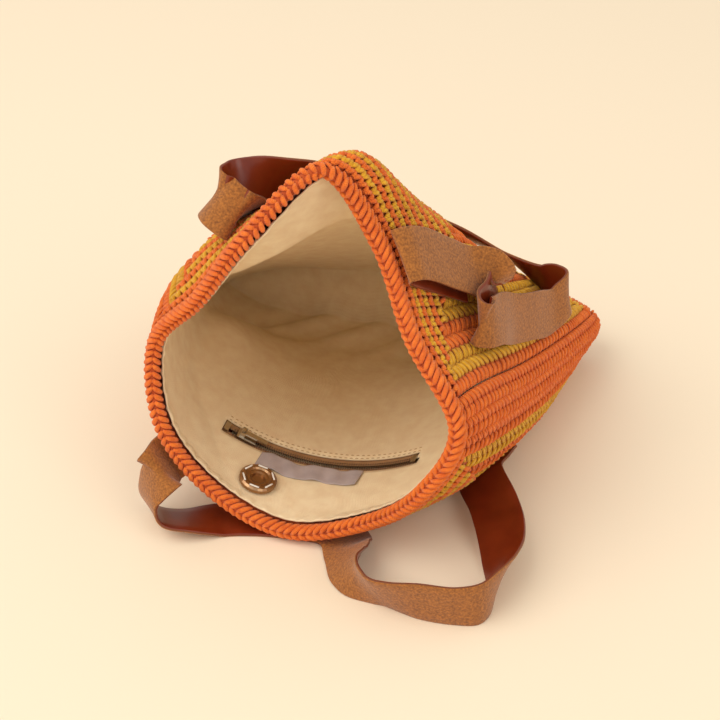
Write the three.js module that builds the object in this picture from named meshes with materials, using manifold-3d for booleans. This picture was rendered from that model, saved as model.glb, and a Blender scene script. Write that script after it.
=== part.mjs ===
// Crochet tote bag lying open on its front panel. Millimetres, +Z up.
// X runs across the bag, +Y from the mouth to the bottom, and the belly of the front panel rests on z = 0.
import * as THREE from 'three';
import { mergeVertices } from 'three/addons/utils/BufferGeometryUtils.js';
import Module from 'manifold-3d';

const wasm = await Module();
wasm.setup();

// Wall sizes
const CROCHET = 4.4;
const RIDGE = 1.4;
const ROUND = 12;
const LINING = 0.8;
const LINING_GAP = 1.9;
const GAP = 0.3;
const GUSSET = 28;
const GUSSET_ROWS = 3;
const RIM_HEIGHT = 8;
const RIM_THICKNESS = 10;
const RIM_STITCHES = 52;
const RIM_CLEAR = 2.4;
const RIM_BRAID = 0.7;

// Straps
const STRAP_WIDTH = 26;
const STRAP = 1.8;
const STRAP_STEPS = 66;

// Zip: the tapes, the pocket and the slider follow one arc about an axis along Y
const ZIP_RADIUS = 105;
const ZIP_CENTRE_X = -6;
const ZIP_FLOOR = 10.5;
const ZIP_Y = -36;
const ZIP_START = -28.5;
const ZIP_END = 27;
const ZIP_SLIT = 5;
const SLIDER_AT = -24;
const TAPE_WIDTH = 12;
const TAPE = 0.6;
const TEETH_WIDTH = 2.2;
const TEETH = 2.4;
const TEETH_GAP = 1;
const POCKET_DEPTH = 60;
const POCKET_CLOTH = 0.5;
const SLIDER_LENGTH = 11;
const SLIDER_WIDTH = 7.4;
const SLIDER_PLATE = 1.1;
const SLIDER_PLAY = 0.5;
const NECK_WIDTH = 1.2;
const NECK_LENGTH = 3;
const PIN_RADIUS = 0.5;
const PIN_PLAY = 0.25;
const PULL_LENGTH = 14;
const PULL_WIDTH = 3;
const PULL = 1;
const PULL_WALL = 0.6;
const STOP = 0.8;
const STOP_LENGTH = 3;
const TAPE_TAIL = 3;

// Snap and label
const SNAP_DIAMETER = 20;
const SNAP_HEIGHT = 3.6;
const SNAP_BORE = 7;
const STUD_DIAMETER = 15;
const STUD_NUB = 6;
const WASHER_DIAMETER = 9;
const WASHER = 0.5;
const LABEL_WIDTH = 56;
const LABEL_HEIGHT = 12;
const LABEL = 0.5;
const LABEL_S = 9.15;
const LABEL_T = 0.22;
const SOCKET_S = 9.62;
const STUD_S = 3.65;
const SOCKET_FROM_RIM = 16.5;
const STUD_FROM_RIM = 15;

// Sections of the bag from the mouth to the bottom, twelve stations each:
// left seam, five over the back panel, right seam, five under the front panel.
const MOUTH = [
  [-82, -70, 98], [-52, -80, 137], [-26, -82, 176], [0, -60, 200], [22, -52, 172], [44, -73, 133],
  [75, -95, 92], [61, -99, 56], [34, -89, 24], [4, -92, 9], [-36, -84, 11], [-73, -84, 46],
];
const NECK = [
  [-88, -51, 96], [-71, -44, 128], [-34, -53, 164], [10, -43, 199], [27, -26, 176], [51, -54, 128],
  [84, -70, 86], [77, -64, 42], [41, -63, 13], [8, -72, 7], [-38, -67, 8], [-75, -68, 40],
];
const BELLY = [
  [-99, 4, 76], [-87, -6, 102], [-39, -12, 136], [1, -2, 153], [36, 14, 145], [73, 0, 104],
  [98, -9, 62], [96, 6, 22], [49, 6, 3], [3, 6, 1], [-48, 4, 2], [-84, -4, 30],
];
const HEEL = [
  [-106, 51, 48], [-92, 46, 72], [-43, 55, 88], [8, 59, 98], [62, 55, 93], [96, 58, 70],
  [113, 60, 40], [107, 62, 8], [61, 63, 2], [9, 66, 1], [-50, 68, 2], [-98, 62, 15],
];
const FOOT = [
  [-112, 112, 20], [-80, 116, 36], [-40, 118, 40], [0, 119, 42], [42, 118, 42], [88, 116, 40],
  [122, 114, 22], [92, 108, 4], [44, 109, 3], [0, 110, 3], [-40, 110, 3], [-80, 110, 4],
];
const SECTION_AT = [0, 0.15, 0.4, 0.7, 1];
const DEPTH = 230;

// Mesh helpers

function solidFrom(positions, triangles) {
  const geometry = new THREE.BufferGeometry();
  geometry.setAttribute('position', new THREE.Float32BufferAttribute(positions.flat(), 3));
  geometry.setIndex(triangles.flat());
  geometry.computeVertexNormals();
  return geometry;
}

function toManifold(geometry) {
  const bare = geometry.clone();
  bare.deleteAttribute('normal');
  bare.deleteAttribute('uv');
  const merged = mergeVertices(bare, 1e-4);
  const vertProperties = new Float32Array(merged.attributes.position.array);
  const triVerts = new Uint32Array(merged.index.array);
  return new wasm.Manifold(new wasm.Mesh({ numProp: 3, vertProperties, triVerts }));
}

function fromManifold(solid) {
  const mesh = solid.getMesh();
  const geometry = new THREE.BufferGeometry();
  geometry.setAttribute('position', new THREE.BufferAttribute(mesh.vertProperties, 3));
  geometry.setIndex(new THREE.BufferAttribute(mesh.triVerts, 1));
  geometry.computeVertexNormals();
  return geometry;
}

// Triangles that fill a convex outline.
function fan(size) {
  return Array.from({ length: size - 2 }, (_, k) => [0, k + 1, k + 2]);
}

// A closed tube of rings, each a list of points; ends are filled by the given triangles unless it is a loop.
function loft(rings, loop = false, cap = fan(rings[0].length)) {
  const size = rings[0].length;
  const positions = rings.flat().map((p) => p.toArray());
  const triangles = [];
  const last = loop ? rings.length : rings.length - 1;
  for (let i = 0; i < last; i++) {
    const a = i * size;
    const b = ((i + 1) % rings.length) * size;
    for (let k = 0; k < size; k++) {
      const m = (k + 1) % size;
      triangles.push([a + k, b + k, b + m], [a + k, b + m, a + m]);
    }
  }
  if (!loop) {
    const end = (rings.length - 1) * size;
    for (const [a, b, c] of cap) triangles.push([a, b, c], [end + a, end + c, end + b]);
  }
  return solidFrom(positions, triangles);
}

// A sheet of quads given by its middle points, made solid by moving each point both ways along its normal.
function thicken(points, quads, outward, inward) {
  const normals = points.map(() => new THREE.Vector3());
  for (const [a, b, c, d] of quads) {
    const across = points[c].clone().sub(points[a]);
    const other = points[d].clone().sub(points[b]);
    const normal = across.cross(other).normalize();
    for (const k of [a, b, c, d]) normals[k].add(normal);
  }
  const positions = [];
  points.forEach((p, k) => {
    positions.push(p.clone().addScaledVector(normals[k].normalize(), outward(k)).toArray());
  });
  points.forEach((p, k) => positions.push(p.clone().addScaledVector(normals[k], -inward).toArray()));
  const n = points.length;
  const triangles = [];
  const edges = new Map();
  for (const quad of quads) {
    const [a, b, c, d] = quad;
    triangles.push([a, b, c], [a, c, d], [n + a, n + c, n + b], [n + a, n + d, n + c]);
    for (let k = 0; k < 4; k++) {
      const from = quad[k];
      const to = quad[(k + 1) % 4];
      if (edges.has(`${to},${from}`)) edges.delete(`${to},${from}`);
      else edges.set(`${from},${to}`, [from, to]);
    }
  }
  for (const [from, to] of edges.values()) {
    triangles.push([from, n + from, n + to], [from, n + to, to]);
  }
  return solidFrom(positions, triangles);
}

// The bag's surface

const STATIONS = 12;
const HALF = STATIONS / 2;

function closedCurve(points) {
  return new THREE.CatmullRomCurve3(points.map((p) => new THREE.Vector3(...p)), true, 'catmullrom', 0.5);
}

// Even stations along each half of a section, so that rounds run evenly from seam to seam.
function evenStations(points) {
  const curve = closedCurve(points);
  const samples = 240;
  const dense = [];
  for (let i = 0; i <= samples; i++) dense.push(curve.getPoint((i % samples) / samples));
  const even = [];
  for (const half of [0, 1]) {
    const part = dense.slice((half * samples) / 2, ((half + 1) * samples) / 2 + 1);
    const reach = [0];
    for (let i = 1; i < part.length; i++) reach.push(reach[i - 1] + part[i].distanceTo(part[i - 1]));
    for (let k = 0; k < HALF; k++) {
      const want = (reach[reach.length - 1] * k) / HALF;
      let i = 1;
      while (reach[i] < want) i++;
      const mix = (want - reach[i - 1]) / (reach[i] - reach[i - 1]);
      even.push(part[i - 1].clone().lerp(part[i], mix));
    }
  }
  return even;
}

const SECTIONS = [MOUTH, NECK, BELLY, HEEL, FOOT].map(evenStations);

function slope(station, k) {
  const rise = (a) => SECTIONS[a + 1][station].clone().sub(SECTIONS[a][station])
    .divideScalar(SECTION_AT[a + 1] - SECTION_AT[a]);
  if (k === 0) return rise(0);
  if (k === SECTION_AT.length - 1) return rise(k - 1);
  const before = SECTION_AT[k] - SECTION_AT[k - 1];
  const after = SECTION_AT[k + 1] - SECTION_AT[k];
  return rise(k - 1).multiplyScalar(after).add(rise(k).multiplyScalar(before)).divideScalar(before + after);
}

const SLOPES = SECTION_AT.map((_, k) => SECTIONS[k].map((_, station) => slope(station, k)));

function stationAt(station, t) {
  let k = 0;
  while (k < SECTION_AT.length - 2 && t > SECTION_AT[k + 1]) k++;
  const h = SECTION_AT[k + 1] - SECTION_AT[k];
  const x = (t - SECTION_AT[k]) / h;
  const point = SECTIONS[k][station].clone().multiplyScalar(2 * x ** 3 - 3 * x ** 2 + 1);
  point.addScaledVector(SLOPES[k][station], (x ** 3 - 2 * x ** 2 + x) * h);
  point.addScaledVector(SECTIONS[k + 1][station], 3 * x ** 2 - 2 * x ** 3);
  return point.addScaledVector(SLOPES[k + 1][station], (x ** 3 - x ** 2) * h);
}

// Middle of the crochet wall: s runs round the mouth in stations, t from the mouth (0) to the bottom (1).
function surface(s, t) {
  const base = Math.floor(s);
  const x = s - base;
  const p = [-1, 0, 1, 2].map((k) => stationAt((((base + k) % STATIONS) + STATIONS) % STATIONS, t));
  const weights = [
    (-x + 2 * x ** 2 - x ** 3) / 2,
    (2 - 5 * x ** 2 + 3 * x ** 3) / 2,
    (x + 4 * x ** 2 - 3 * x ** 3) / 2,
    (-(x ** 2) + x ** 3) / 2,
  ];
  const point = new THREE.Vector3();
  weights.forEach((w, k) => point.addScaledVector(p[k], w));
  return point;
}

function surfaceNormal(s, t) {
  const ds = 0.02;
  const dt = 0.004;
  const around = surface(s + ds, t).sub(surface(s - ds, t));
  const along = surface(s, Math.min(1, t + dt)).sub(surface(s, Math.max(0, t - dt)));
  return around.cross(along).normalize();
}

// A point off the surface; nothing reaches below the table.
function offSurface(s, t, lift) {
  const point = surface(s, t).addScaledVector(surfaceNormal(s, t), lift);
  point.z = Math.max(0, point.z);
  return point;
}

// The value of t at a distance from the mouth, in mm along the wall.
function belowRim(s, distance) {
  const step = 0.005;
  let t = 0;
  let walked = 0;
  let here = surface(s, 0);
  while (walked < distance) {
    const next = surface(s, t + step);
    const length = next.distanceTo(here);
    if (walked + length >= distance) return t + (step * (distance - walked)) / length;
    walked += length;
    here = next;
    t += step;
  }
  return t;
}

// Shared grid of the panels, the gusset and the lining

const STATION_LENGTH = 47;
const SEAM = GUSSET / 2 / STATION_LENGTH;
const SEAM_GAP = (3 * GAP) / STATION_LENGTH;
const TOP = RIM_CLEAR + RIM_HEIGHT / 2;
const ZIP_T = 0.27;
const SLIT_T = ZIP_SLIT / DEPTH;
const TAPE_T = (TAPE_WIDTH + 4) / DEPTH;
const T_LINES = [
  0, 0.1, ZIP_T - TAPE_T, ZIP_T - SLIT_T, ZIP_T + SLIT_T, ZIP_T + TAPE_T, 0.46, 0.6, 0.75, 0.88, 1,
];
const COLUMNS = 14;
const ROWS = T_LINES.length - 1;

// A panel worked in square rounds: ridged outside, smooth inside.
function crochetPanel(firstSeam) {
  const s0 = firstSeam + SEAM + SEAM_GAP;
  const s1 = firstSeam + HALF - SEAM - SEAM_GAP;
  const t1 = 1 - GAP / DEPTH;
  const width = (s1 - s0) * STATION_LENGTH;
  const height = t1 * DEPTH - TOP;
  const column = (i) => i / COLUMNS;
  const row = (j) => T_LINES[j];
  const outerLift = (loop) => CROCHET / 2 + (loop % 2 ? RIDGE / 2 : -RIDGE / 2);
  const positions = [];
  const put = (p, q, lift) => {
    const s = s0 + (s1 - s0) * p;
    const t0 = belowRim(s, TOP);
    positions.push(offSurface(s, t0 + (t1 - t0) * q, lift).toArray());
    return positions.length - 1;
  };
  const edgePlaces = [];
  for (let i = 0; i < COLUMNS; i++) edgePlaces.push([column(i), 0]);
  for (let j = 0; j < ROWS; j++) edgePlaces.push([1, row(j)]);
  for (let i = COLUMNS; i > 0; i--) edgePlaces.push([column(i), 1]);
  for (let j = ROWS; j > 0; j--) edgePlaces.push([0, row(j)]);
  const loops = [];
  const half = Math.min(width, height) / 2;
  for (let k = 0; k * (ROUND / 2) < half - ROUND / 4; k++) {
    const inset = (k * ROUND) / 2;
    loops.push(edgePlaces.map(([p, q]) => put(
      inset / width + p * (1 - (2 * inset) / width),
      inset / height + q * (1 - (2 * inset) / height),
      outerLift(k),
    )));
  }
  const count = edgePlaces.length;
  const triangles = [];
  for (let k = 0; k < loops.length - 1; k++) {
    for (let e = 0; e < count; e++) {
      const f = (e + 1) % count;
      triangles.push([loops[k][e], loops[k][f], loops[k + 1][f]]);
      triangles.push([loops[k][e], loops[k + 1][f], loops[k + 1][e]]);
    }
  }
  const heart = loops[loops.length - 1];
  const centre = put(0.5, 0.5, CROCHET / 2);
  for (let e = 0; e < count; e++) triangles.push([centre, heart[e], heart[(e + 1) % count]]);
  const inner = [];
  for (let j = 0; j <= ROWS; j++) {
    inner.push([]);
    for (let i = 0; i <= COLUMNS; i++) inner[j].push(put(column(i), row(j), -CROCHET / 2));
  }
  for (let j = 0; j < ROWS; j++) {
    for (let i = 0; i < COLUMNS; i++) {
      const [a, b, c, d] = [inner[j][i], inner[j][i + 1], inner[j + 1][i + 1], inner[j + 1][i]];
      triangles.push([a, c, b], [a, d, c]);
    }
  }
  const innerEdge = [];
  for (let i = 0; i < COLUMNS; i++) innerEdge.push(inner[0][i]);
  for (let j = 0; j < ROWS; j++) innerEdge.push(inner[j][COLUMNS]);
  for (let i = COLUMNS; i > 0; i--) innerEdge.push(inner[ROWS][i]);
  for (let j = ROWS; j > 0; j--) innerEdge.push(inner[j][0]);
  for (let e = 0; e < count; e++) {
    const f = (e + 1) % count;
    triangles.push([loops[0][e], innerEdge[e], innerEdge[f]], [loops[0][e], innerEdge[f], loops[0][f]]);
  }
  return solidFrom(positions, triangles);
}

// The surface with its rows counted from the lower edge of the rim.
function underRim(s, t) {
  const t0 = belowRim(s, TOP);
  return surface(s, t0 + (1 - t0) * t);
}

// The band down the left seam, behind the bottom edges of the panels and up the right seam.
function gusset() {
  const across = GUSSET_ROWS * 2;
  const behind = CROCHET / 2 + GAP;
  const spread = (k) => 1 - (2 * k) / across;
  const lines = [];
  for (const t of T_LINES.slice(0, -1)) {
    lines.push(Array.from({ length: across + 1 }, (_, k) => underRim(SEAM * spread(k), t)));
  }
  const panelSpan = HALF - 2 * SEAM;
  for (let i = 0; i <= COLUMNS; i++) {
    const back = surface(SEAM + (panelSpan * i) / COLUMNS, 1);
    const front = surface(STATIONS - SEAM - (panelSpan * i) / COLUMNS, 1);
    lines.push(Array.from({ length: across + 1 }, (_, k) => {
      const point = back.clone().lerp(front, k / across);
      point.y += behind + CROCHET / 2;
      const end = i === 0 ? -1 : 0;
      const side = end + (i === COLUMNS ? 1 : 0);
      const bow = Math.sin((Math.PI * k) / across);
      point.x += side * (behind + bow * (GUSSET / 4));
      return point;
    }));
  }
  for (const t of T_LINES.slice(0, -1).reverse()) {
    lines.push(Array.from({ length: across + 1 }, (_, k) => underRim(HALF - SEAM * spread(k), t)));
  }
  const points = lines.flat();
  const quads = [];
  const stride = across + 1;
  for (let j = 0; j < lines.length - 1; j++) {
    for (let k = 0; k < across; k++) {
      const a = j * stride + k;
      quads.push([a, a + stride, a + stride + 1, a + 1].reverse());
    }
  }
  const lift = (index) => CROCHET / 2 + ((index % stride) % 2 ? RIDGE / 2 : -RIDGE / 2);
  return thicken(points, quads, lift, CROCHET / 2);
}

// The edging round the mouth: a two-lobed bead whose lobes swell by turns, like a braid.
function rimEdging() {
  const sides = 8;
  const rings = [];
  for (let i = 0; i < RIM_STITCHES * 2; i++) {
    const s = (STATIONS * i) / (RIM_STITCHES * 2);
    const centre = surface(s, 0);
    const out = surfaceNormal(s, 0.002);
    const inward = surface(s, 0.02).sub(centre).normalize();
    const swell = i % 2 ? RIM_BRAID : -RIM_BRAID;
    const ring = [];
    for (let k = 0; k < sides; k++) {
      const angle = (2 * Math.PI * k) / sides;
      const lobe = 1 + (swell * Math.sign(Math.cos(angle))) / RIM_THICKNESS;
      const point = centre.clone().addScaledVector(out, (Math.cos(angle) * lobe * RIM_THICKNESS) / 2);
      ring.push(point.addScaledVector(inward, (Math.sin(angle) * RIM_HEIGHT) / 2));
    }
    rings.push(ring);
  }
  return loft(rings, true);
}

// Lining

const ZIP_CENTRE_Z = ZIP_FLOOR + ZIP_RADIUS;
const LINING_LIFT = -(CROCHET / 2 + LINING_GAP + LINING / 2);
const LINING_FOOT = 1 - (LINING + 2 * GAP + CROCHET / 2) / DEPTH;
const HELD_RIM_SIDE = 0.2;
const HELD_POCKET_SIDE = 0.5;

// How much of the lining is held to the zip's arc at a place: all of it beside the zip, none at the seams.
function heldByZip(s, t) {
  if (s <= HALF) return 0;
  const spread = t < ZIP_T ? HELD_RIM_SIDE : HELD_POCKET_SIDE;
  const along = Math.max(0, 1 - ((t - ZIP_T) / spread) ** 2);
  const beside = Math.min(1, Math.min(s - HALF, STATIONS - s) / 1.4);
  return Math.min(1, along * 1.6) * beside * beside * (3 - 2 * beside);
}

function liningPoint(s, t, extra = 0) {
  const point = surface(s, t).addScaledVector(surfaceNormal(s, t), LINING_LIFT - extra);
  const held = heldByZip(s, t);
  const reach = THREE.MathUtils.clamp((point.x - ZIP_CENTRE_X) / ZIP_RADIUS, -0.9, 0.9);
  const arc = ZIP_CENTRE_Z - (ZIP_RADIUS - extra) * Math.sqrt(1 - reach ** 2);
  point.z += held * Math.max(0, arc - point.z);
  point.y += held * (ZIP_Y + (t - ZIP_T) * DEPTH - point.y);
  return point;
}

function lining() {
  const sLines = [];
  const panelSpan = HALF - 2 * SEAM;
  for (const seam of [0, HALF]) {
    sLines.push(seam);
    for (let i = 0; i <= COLUMNS; i++) sLines.push(seam + SEAM + (panelSpan * i) / COLUMNS);
  }
  const tLines = [...T_LINES.slice(0, -1), LINING_FOOT];
  const round = sLines.length;
  const points = tLines.flatMap((t) => sLines.map((s) => liningPoint(s, t || belowRim(s, TOP + 3 * LINING))));
  const quads = [];
  for (let j = 0; j < ROWS; j++) {
    for (let i = 0; i < round; i++) {
      const next = (i + 1) % round;
      const quad = [j * round + i, j * round + next, (j + 1) * round + next, (j + 1) * round + i];
      const inSlit = T_LINES[j] === ZIP_T - SLIT_T && sLines[i] > HALF
        && points[quad[0]].x > zipPoint(ZIP_START - TAPE_TAIL).x
        && points[quad[1]].x < zipPoint(ZIP_END + TAPE_TAIL).x;
      if (!inSlit) quads.push(quad);
    }
  }
  const foot = ROWS * round;
  const mirror = (i) => (round - i) % round;
  for (let i = 0; i < round / 2; i++) {
    const quad = [foot + i, foot + i + 1, foot + mirror(i + 1), foot + mirror(i)];
    quads.push(quad);
  }
  return thicken(points, quads, () => LINING / 2, LINING / 2);
}

// Zip and pocket: sections swept round the zip's axis

function zipPoint(degrees, radius = ZIP_RADIUS, y = ZIP_Y) {
  const a = THREE.MathUtils.degToRad(degrees);
  return new THREE.Vector3(ZIP_CENTRE_X + radius * Math.sin(a), y, ZIP_CENTRE_Z - radius * Math.cos(a));
}

// A section of [y from the zip line, depth below the lining] points, swept from one angle to another.
function arcSweep(section, from, to, steps) {
  const rings = [];
  for (let i = 0; i <= steps; i++) {
    const degrees = from + ((to - from) * i) / steps;
    rings.push(section.map(([y, depth]) => zipPoint(degrees, ZIP_RADIUS + depth, ZIP_Y + y)));
  }
  const cap = THREE.ShapeUtils.triangulateShape(section.map(([y, depth]) => new THREE.Vector2(y, depth)), []);
  return loft(rings, false, cap);
}

const TAPE_TOP = LINING / 2 + GAP;
const TAPE_MIDDLE = TAPE_TOP + TAPE / 2;
const ZIP_STEPS = 16;

// One tape with the row of teeth along its edge; side is -1 for the rim side and 1 for the pocket side.
function zipTape(side) {
  const high = TAPE_MIDDLE - TEETH / 2;
  const low = TAPE_MIDDLE + TEETH / 2;
  const bead = TEETH_GAP + TEETH_WIDTH;
  const outline = [
    [TEETH_GAP, high], [bead, high], [bead, TAPE_TOP], [TAPE_WIDTH, TAPE_TOP],
    [TAPE_WIDTH, TAPE_TOP + TAPE], [bead, TAPE_TOP + TAPE], [bead, low], [TEETH_GAP, low],
  ].map(([y, depth]) => [side * y, depth]);
  if (side < 0) outline.reverse();
  return arcSweep(outline, ZIP_START - TAPE_TAIL, ZIP_END + TAPE_TAIL, ZIP_STEPS);
}

// One folded cloth: the lower layer starts under the rim-side tape, the upper one under the pocket-side tape.
function pocket() {
  const below = TAPE_MIDDLE + TEETH / 2 + SLIDER_PLAY + SLIDER_PLATE + GAP;
  const cloth = POCKET_CLOTH;
  const under = TAPE_TOP + TAPE + GAP;
  const near = -TAPE_WIDTH;
  const clear = -(SLIDER_WIDTH / 2 + TAPE);
  const edge = SLIDER_WIDTH / 2 + TAPE;
  const section = [
    [near, under], [clear, below], [POCKET_DEPTH - cloth, below], [POCKET_DEPTH - cloth, under + cloth],
    [edge, under + cloth], [edge, under], [POCKET_DEPTH, under], [POCKET_DEPTH, below + cloth],
    [clear, below + cloth], [near, under + cloth],
  ];
  return arcSweep(section, ZIP_START, ZIP_END, ZIP_STEPS);
}

// A metal clip closed over the ends of both rows of teeth.
function zipStop(degrees) {
  const reach = TEETH_GAP + TEETH_WIDTH;
  const high = TAPE_MIDDLE - TEETH / 2 - GAP;
  const outline = [[-reach, high - STOP], [reach, high - STOP], [reach, high], [-reach, high]];
  return arcSweep(outline, degrees, degrees + THREE.MathUtils.radToDeg(STOP_LENGTH / ZIP_RADIUS), 1);
}

// Boxes and pins in the zip's own place: x along the zip, y across it, z up from the lining's middle.
function zipBox(x, y, z) {
  const box = new THREE.BoxGeometry(x[1] - x[0], y[1] - y[0], z[1] - z[0]);
  return box.translate((x[0] + x[1]) / 2, (y[0] + y[1]) / 2, (z[0] + z[1]) / 2);
}

function pinAcross(radius, length, x, z) {
  return new THREE.CylinderGeometry(radius, radius, length, 16).translate(x, 0, z);
}

function union(geometries) {
  return fromManifold(geometries.map(toManifold).reduce((all, one) => all.add(one)));
}

function atZip(geometry, degrees) {
  const place = zipPoint(degrees);
  const turn = new THREE.Matrix4().makeRotationY(-THREE.MathUtils.degToRad(degrees));
  return geometry.applyMatrix4(turn).translate(place.x, place.y, place.z);
}

const PLATE_TOP = TEETH / 2 - TAPE_MIDDLE + SLIDER_PLAY;
const PLATE_UNDER = -TEETH / 2 - TAPE_MIDDLE - SLIDER_PLAY;
const PIN_X = -SLIDER_LENGTH / 4;
const PIN_Z = PLATE_TOP + SLIDER_PLATE + PIN_RADIUS + PIN_PLAY + PULL_WALL + GAP;
const LUG = 0.9;

// Two plates joined by the neck that runs between the rows of teeth, with a pin for the pull.
function zipSlider() {
  const wide = [-SLIDER_WIDTH / 2, SLIDER_WIDTH / 2];
  const long = [-SLIDER_LENGTH / 2, SLIDER_LENGTH / 2];
  const top = PLATE_TOP + SLIDER_PLATE;
  const neck = [long[0], long[0] + NECK_LENGTH];
  const sunk = SLIDER_PLATE / 2;
  const lugIn = PULL_WIDTH / 2 + GAP;
  const lugX = [PIN_X - PIN_RADIUS - LUG, PIN_X + PIN_RADIUS + LUG];
  const lugTop = PIN_Z + PIN_RADIUS + LUG / 2;
  return union([
    zipBox(long, wide, [PLATE_TOP, top]),
    zipBox(long, wide, [PLATE_UNDER - SLIDER_PLATE, PLATE_UNDER]),
    zipBox(neck, [-NECK_WIDTH / 2, NECK_WIDTH / 2], [PLATE_UNDER - sunk, top - sunk]),
    zipBox(lugX, [lugIn, lugIn + LUG], [top - sunk, lugTop]),
    zipBox(lugX, [-lugIn - LUG, -lugIn], [top - sunk, lugTop]),
    pinAcross(PIN_RADIUS, 2 * lugIn + LUG, PIN_X, PIN_Z),
  ]);
}

// A tab with an eye round the slider's pin.
function zipPull() {
  const eye = PIN_RADIUS + PIN_PLAY + PULL_WALL;
  const half = PULL_WIDTH / 2;
  const tab = union([
    pinAcross(eye, PULL_WIDTH, PIN_X, PIN_Z),
    zipBox([PIN_X + PIN_RADIUS, PIN_X + PULL_LENGTH], [-half, half], [PIN_Z - PULL / 2, PIN_Z + PULL / 2]),
  ]);
  const bore = toManifold(pinAcross(PIN_RADIUS + PIN_PLAY, 2 * PULL_WIDTH, PIN_X, PIN_Z));
  return fromManifold(toManifold(tab).subtract(bore));
}

// Snap halves and their washers: turned pieces set on the lining

function turned(profile, segments) {
  const outline = profile.map(([r, z]) => new THREE.Vector2(r, z));
  return new THREE.LatheGeometry(outline, segments).rotateX(Math.PI / 2);
}

function snapSocket() {
  const r = SNAP_DIAMETER / 2;
  const bore = SNAP_BORE / 2;
  const h = SNAP_HEIGHT;
  return turned([[0, 0], [r - 1.2, 0], [r, 0.8], [r, h - 1], [r - 1, h], [r - 3, h], [r - 4, h - 0.7],
    [bore + 1.2, h - 0.7], [bore, h - 1.2], [bore, 1.2], [0, 1.2]], 24);
}

function snapStud() {
  const r = STUD_DIAMETER / 2;
  const nub = STUD_NUB / 2;
  return turned([[0, 0], [r - 0.6, 0], [r, 0.6], [r - 0.6, 1.6], [nub + 1, 2], [nub, 2.6], [nub, 3.8],
    [nub - 0.6, 4.6], [0, 4.6]], 24);
}

function washer() {
  const r = WASHER_DIAMETER / 2;
  const hole = STUD_NUB / 2;
  return turned([[hole, 0], [r, 0], [r, WASHER], [hole, WASHER], [hole, 0]], 16);
}

// Seats a turned piece on the lining, facing into the bag: side 1 in the bag, -1 behind the lining.
function setOnLining(geometry, liningMesh, s, fromRim, radius, side) {
  const t = belowRim(s, fromRim);
  const stepS = 0.1;
  const stepT = 0.02;
  const around = liningPoint(s + stepS, t).sub(liningPoint(s - stepS, t)).normalize();
  const along = liningPoint(s, t + stepT).sub(liningPoint(s, t - stepT));
  const inward = along.cross(around).normalize();
  const sideways = inward.clone().cross(around);
  const middle = liningPoint(s, t);
  const clear = 3 * LINING_GAP;
  let seat = -clear;
  for (let k = 0; k < 32; k++) {
    const angle = (Math.PI * k) / 8;
    const reach = k < 16 ? radius : radius / 2;
    const from = middle.clone().addScaledVector(around, reach * Math.cos(angle))
      .addScaledVector(sideways, reach * Math.sin(angle)).addScaledVector(inward, side * clear);
    const ray = new THREE.Raycaster(from, inward.clone().multiplyScalar(-side), 0, 2 * clear);
    const [hit] = ray.intersectObject(liningMesh);
    if (hit) seat = Math.max(seat, clear - hit.distance);
  }
  const lift = side > 0 ? seat + GAP : -(seat + GAP + WASHER);
  const turn = new THREE.Quaternion().setFromUnitVectors(new THREE.Vector3(0, 0, 1), inward);
  const place = middle.addScaledVector(inward, lift);
  return geometry.applyQuaternion(turn).translate(place.x, place.y, place.z);
}

// The blank woven label, a strip that follows the lining beside the zip.
function label() {
  const steps = 8;
  const tall = 3;
  const points = [];
  for (let j = 0; j <= tall; j++) {
    for (let i = 0; i <= steps; i++) {
      const s = LABEL_S + ((0.5 - i / steps) * LABEL_WIDTH) / STATION_LENGTH;
      const t = LABEL_T + ((j / tall - 0.5) * LABEL_HEIGHT) / DEPTH;
      points.push(liningPoint(s, t, LINING / 2 + GAP + LABEL));
    }
  }
  const quads = [];
  for (let j = 0; j < tall; j++) {
    for (let i = 0; i < steps; i++) {
      const a = j * (steps + 1) + i;
      quads.push([a, a + 1, a + steps + 2, a + steps + 1]);
    }
  }
  return thicken(points, quads, () => LABEL / 2, LABEL / 2);
}

// A strap through stations of [centre, direction of its width].
function strap(stations) {
  const centres = new THREE.CatmullRomCurve3(stations.map((st) => st[0]), false, 'centripetal');
  const directions = stations.map((st) => st[1].clone().normalize());
  const widths = new THREE.CatmullRomCurve3(directions, false, 'catmullrom');
  const rings = [];
  for (let i = 0; i <= STRAP_STEPS; i++) {
    const u = i / STRAP_STEPS;
    const centre = centres.getPoint(u);
    const tangent = centres.getTangent(u);
    const wide = widths.getPoint(u);
    wide.addScaledVector(tangent, -wide.dot(tangent)).normalize();
    const thick = tangent.clone().cross(wide).multiplyScalar(STRAP / 2);
    wide.multiplyScalar(STRAP_WIDTH / 2);
    const corner = (w, n) => centre.clone().addScaledVector(wide, w).addScaledVector(thick, n);
    const ring = [corner(-1, -1), corner(-1, 1), corner(1, 1), corner(1, -1)];
    const sunk = Math.min(0, ...ring.map((p) => p.z));
    rings.push(ring.map((p) => p.setZ(p.z - sunk)));
  }
  return loft(rings);
}

// A station that lies on the crochet, its width running round the bag.
function onCrochet(s, t, lift, turnOver = 1) {
  const wide = surface(s + 0.05, t).sub(surface(s - 0.05, t)).normalize().multiplyScalar(turnOver);
  const clear = CROCHET / 2 + RIDGE / 2 + GAP + STRAP / 2 + lift;
  return [surface(s, t).addScaledVector(surfaceNormal(s, t), clear), wide];
}

// A station that lies across the rows of the crochet, its width running up to the mouth.
function acrossCrochet(s, t, lift) {
  const wide = surface(s, t - 0.02).sub(surface(s, t + 0.02)).normalize();
  return [onCrochet(s, t, lift)[0], wide];
}

// A station where the strap stands upright with one edge on the crochet.
function uprightOnCrochet(s, t, lift) {
  const wide = new THREE.Vector3(-0.1, 0.05, 1).normalize();
  const foot = surface(s, t).addScaledVector(surfaceNormal(s, t), CROCHET / 2 + RIDGE / 2 + lift);
  return [foot.addScaledVector(wide, STRAP_WIDTH / 2), wide];
}

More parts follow.
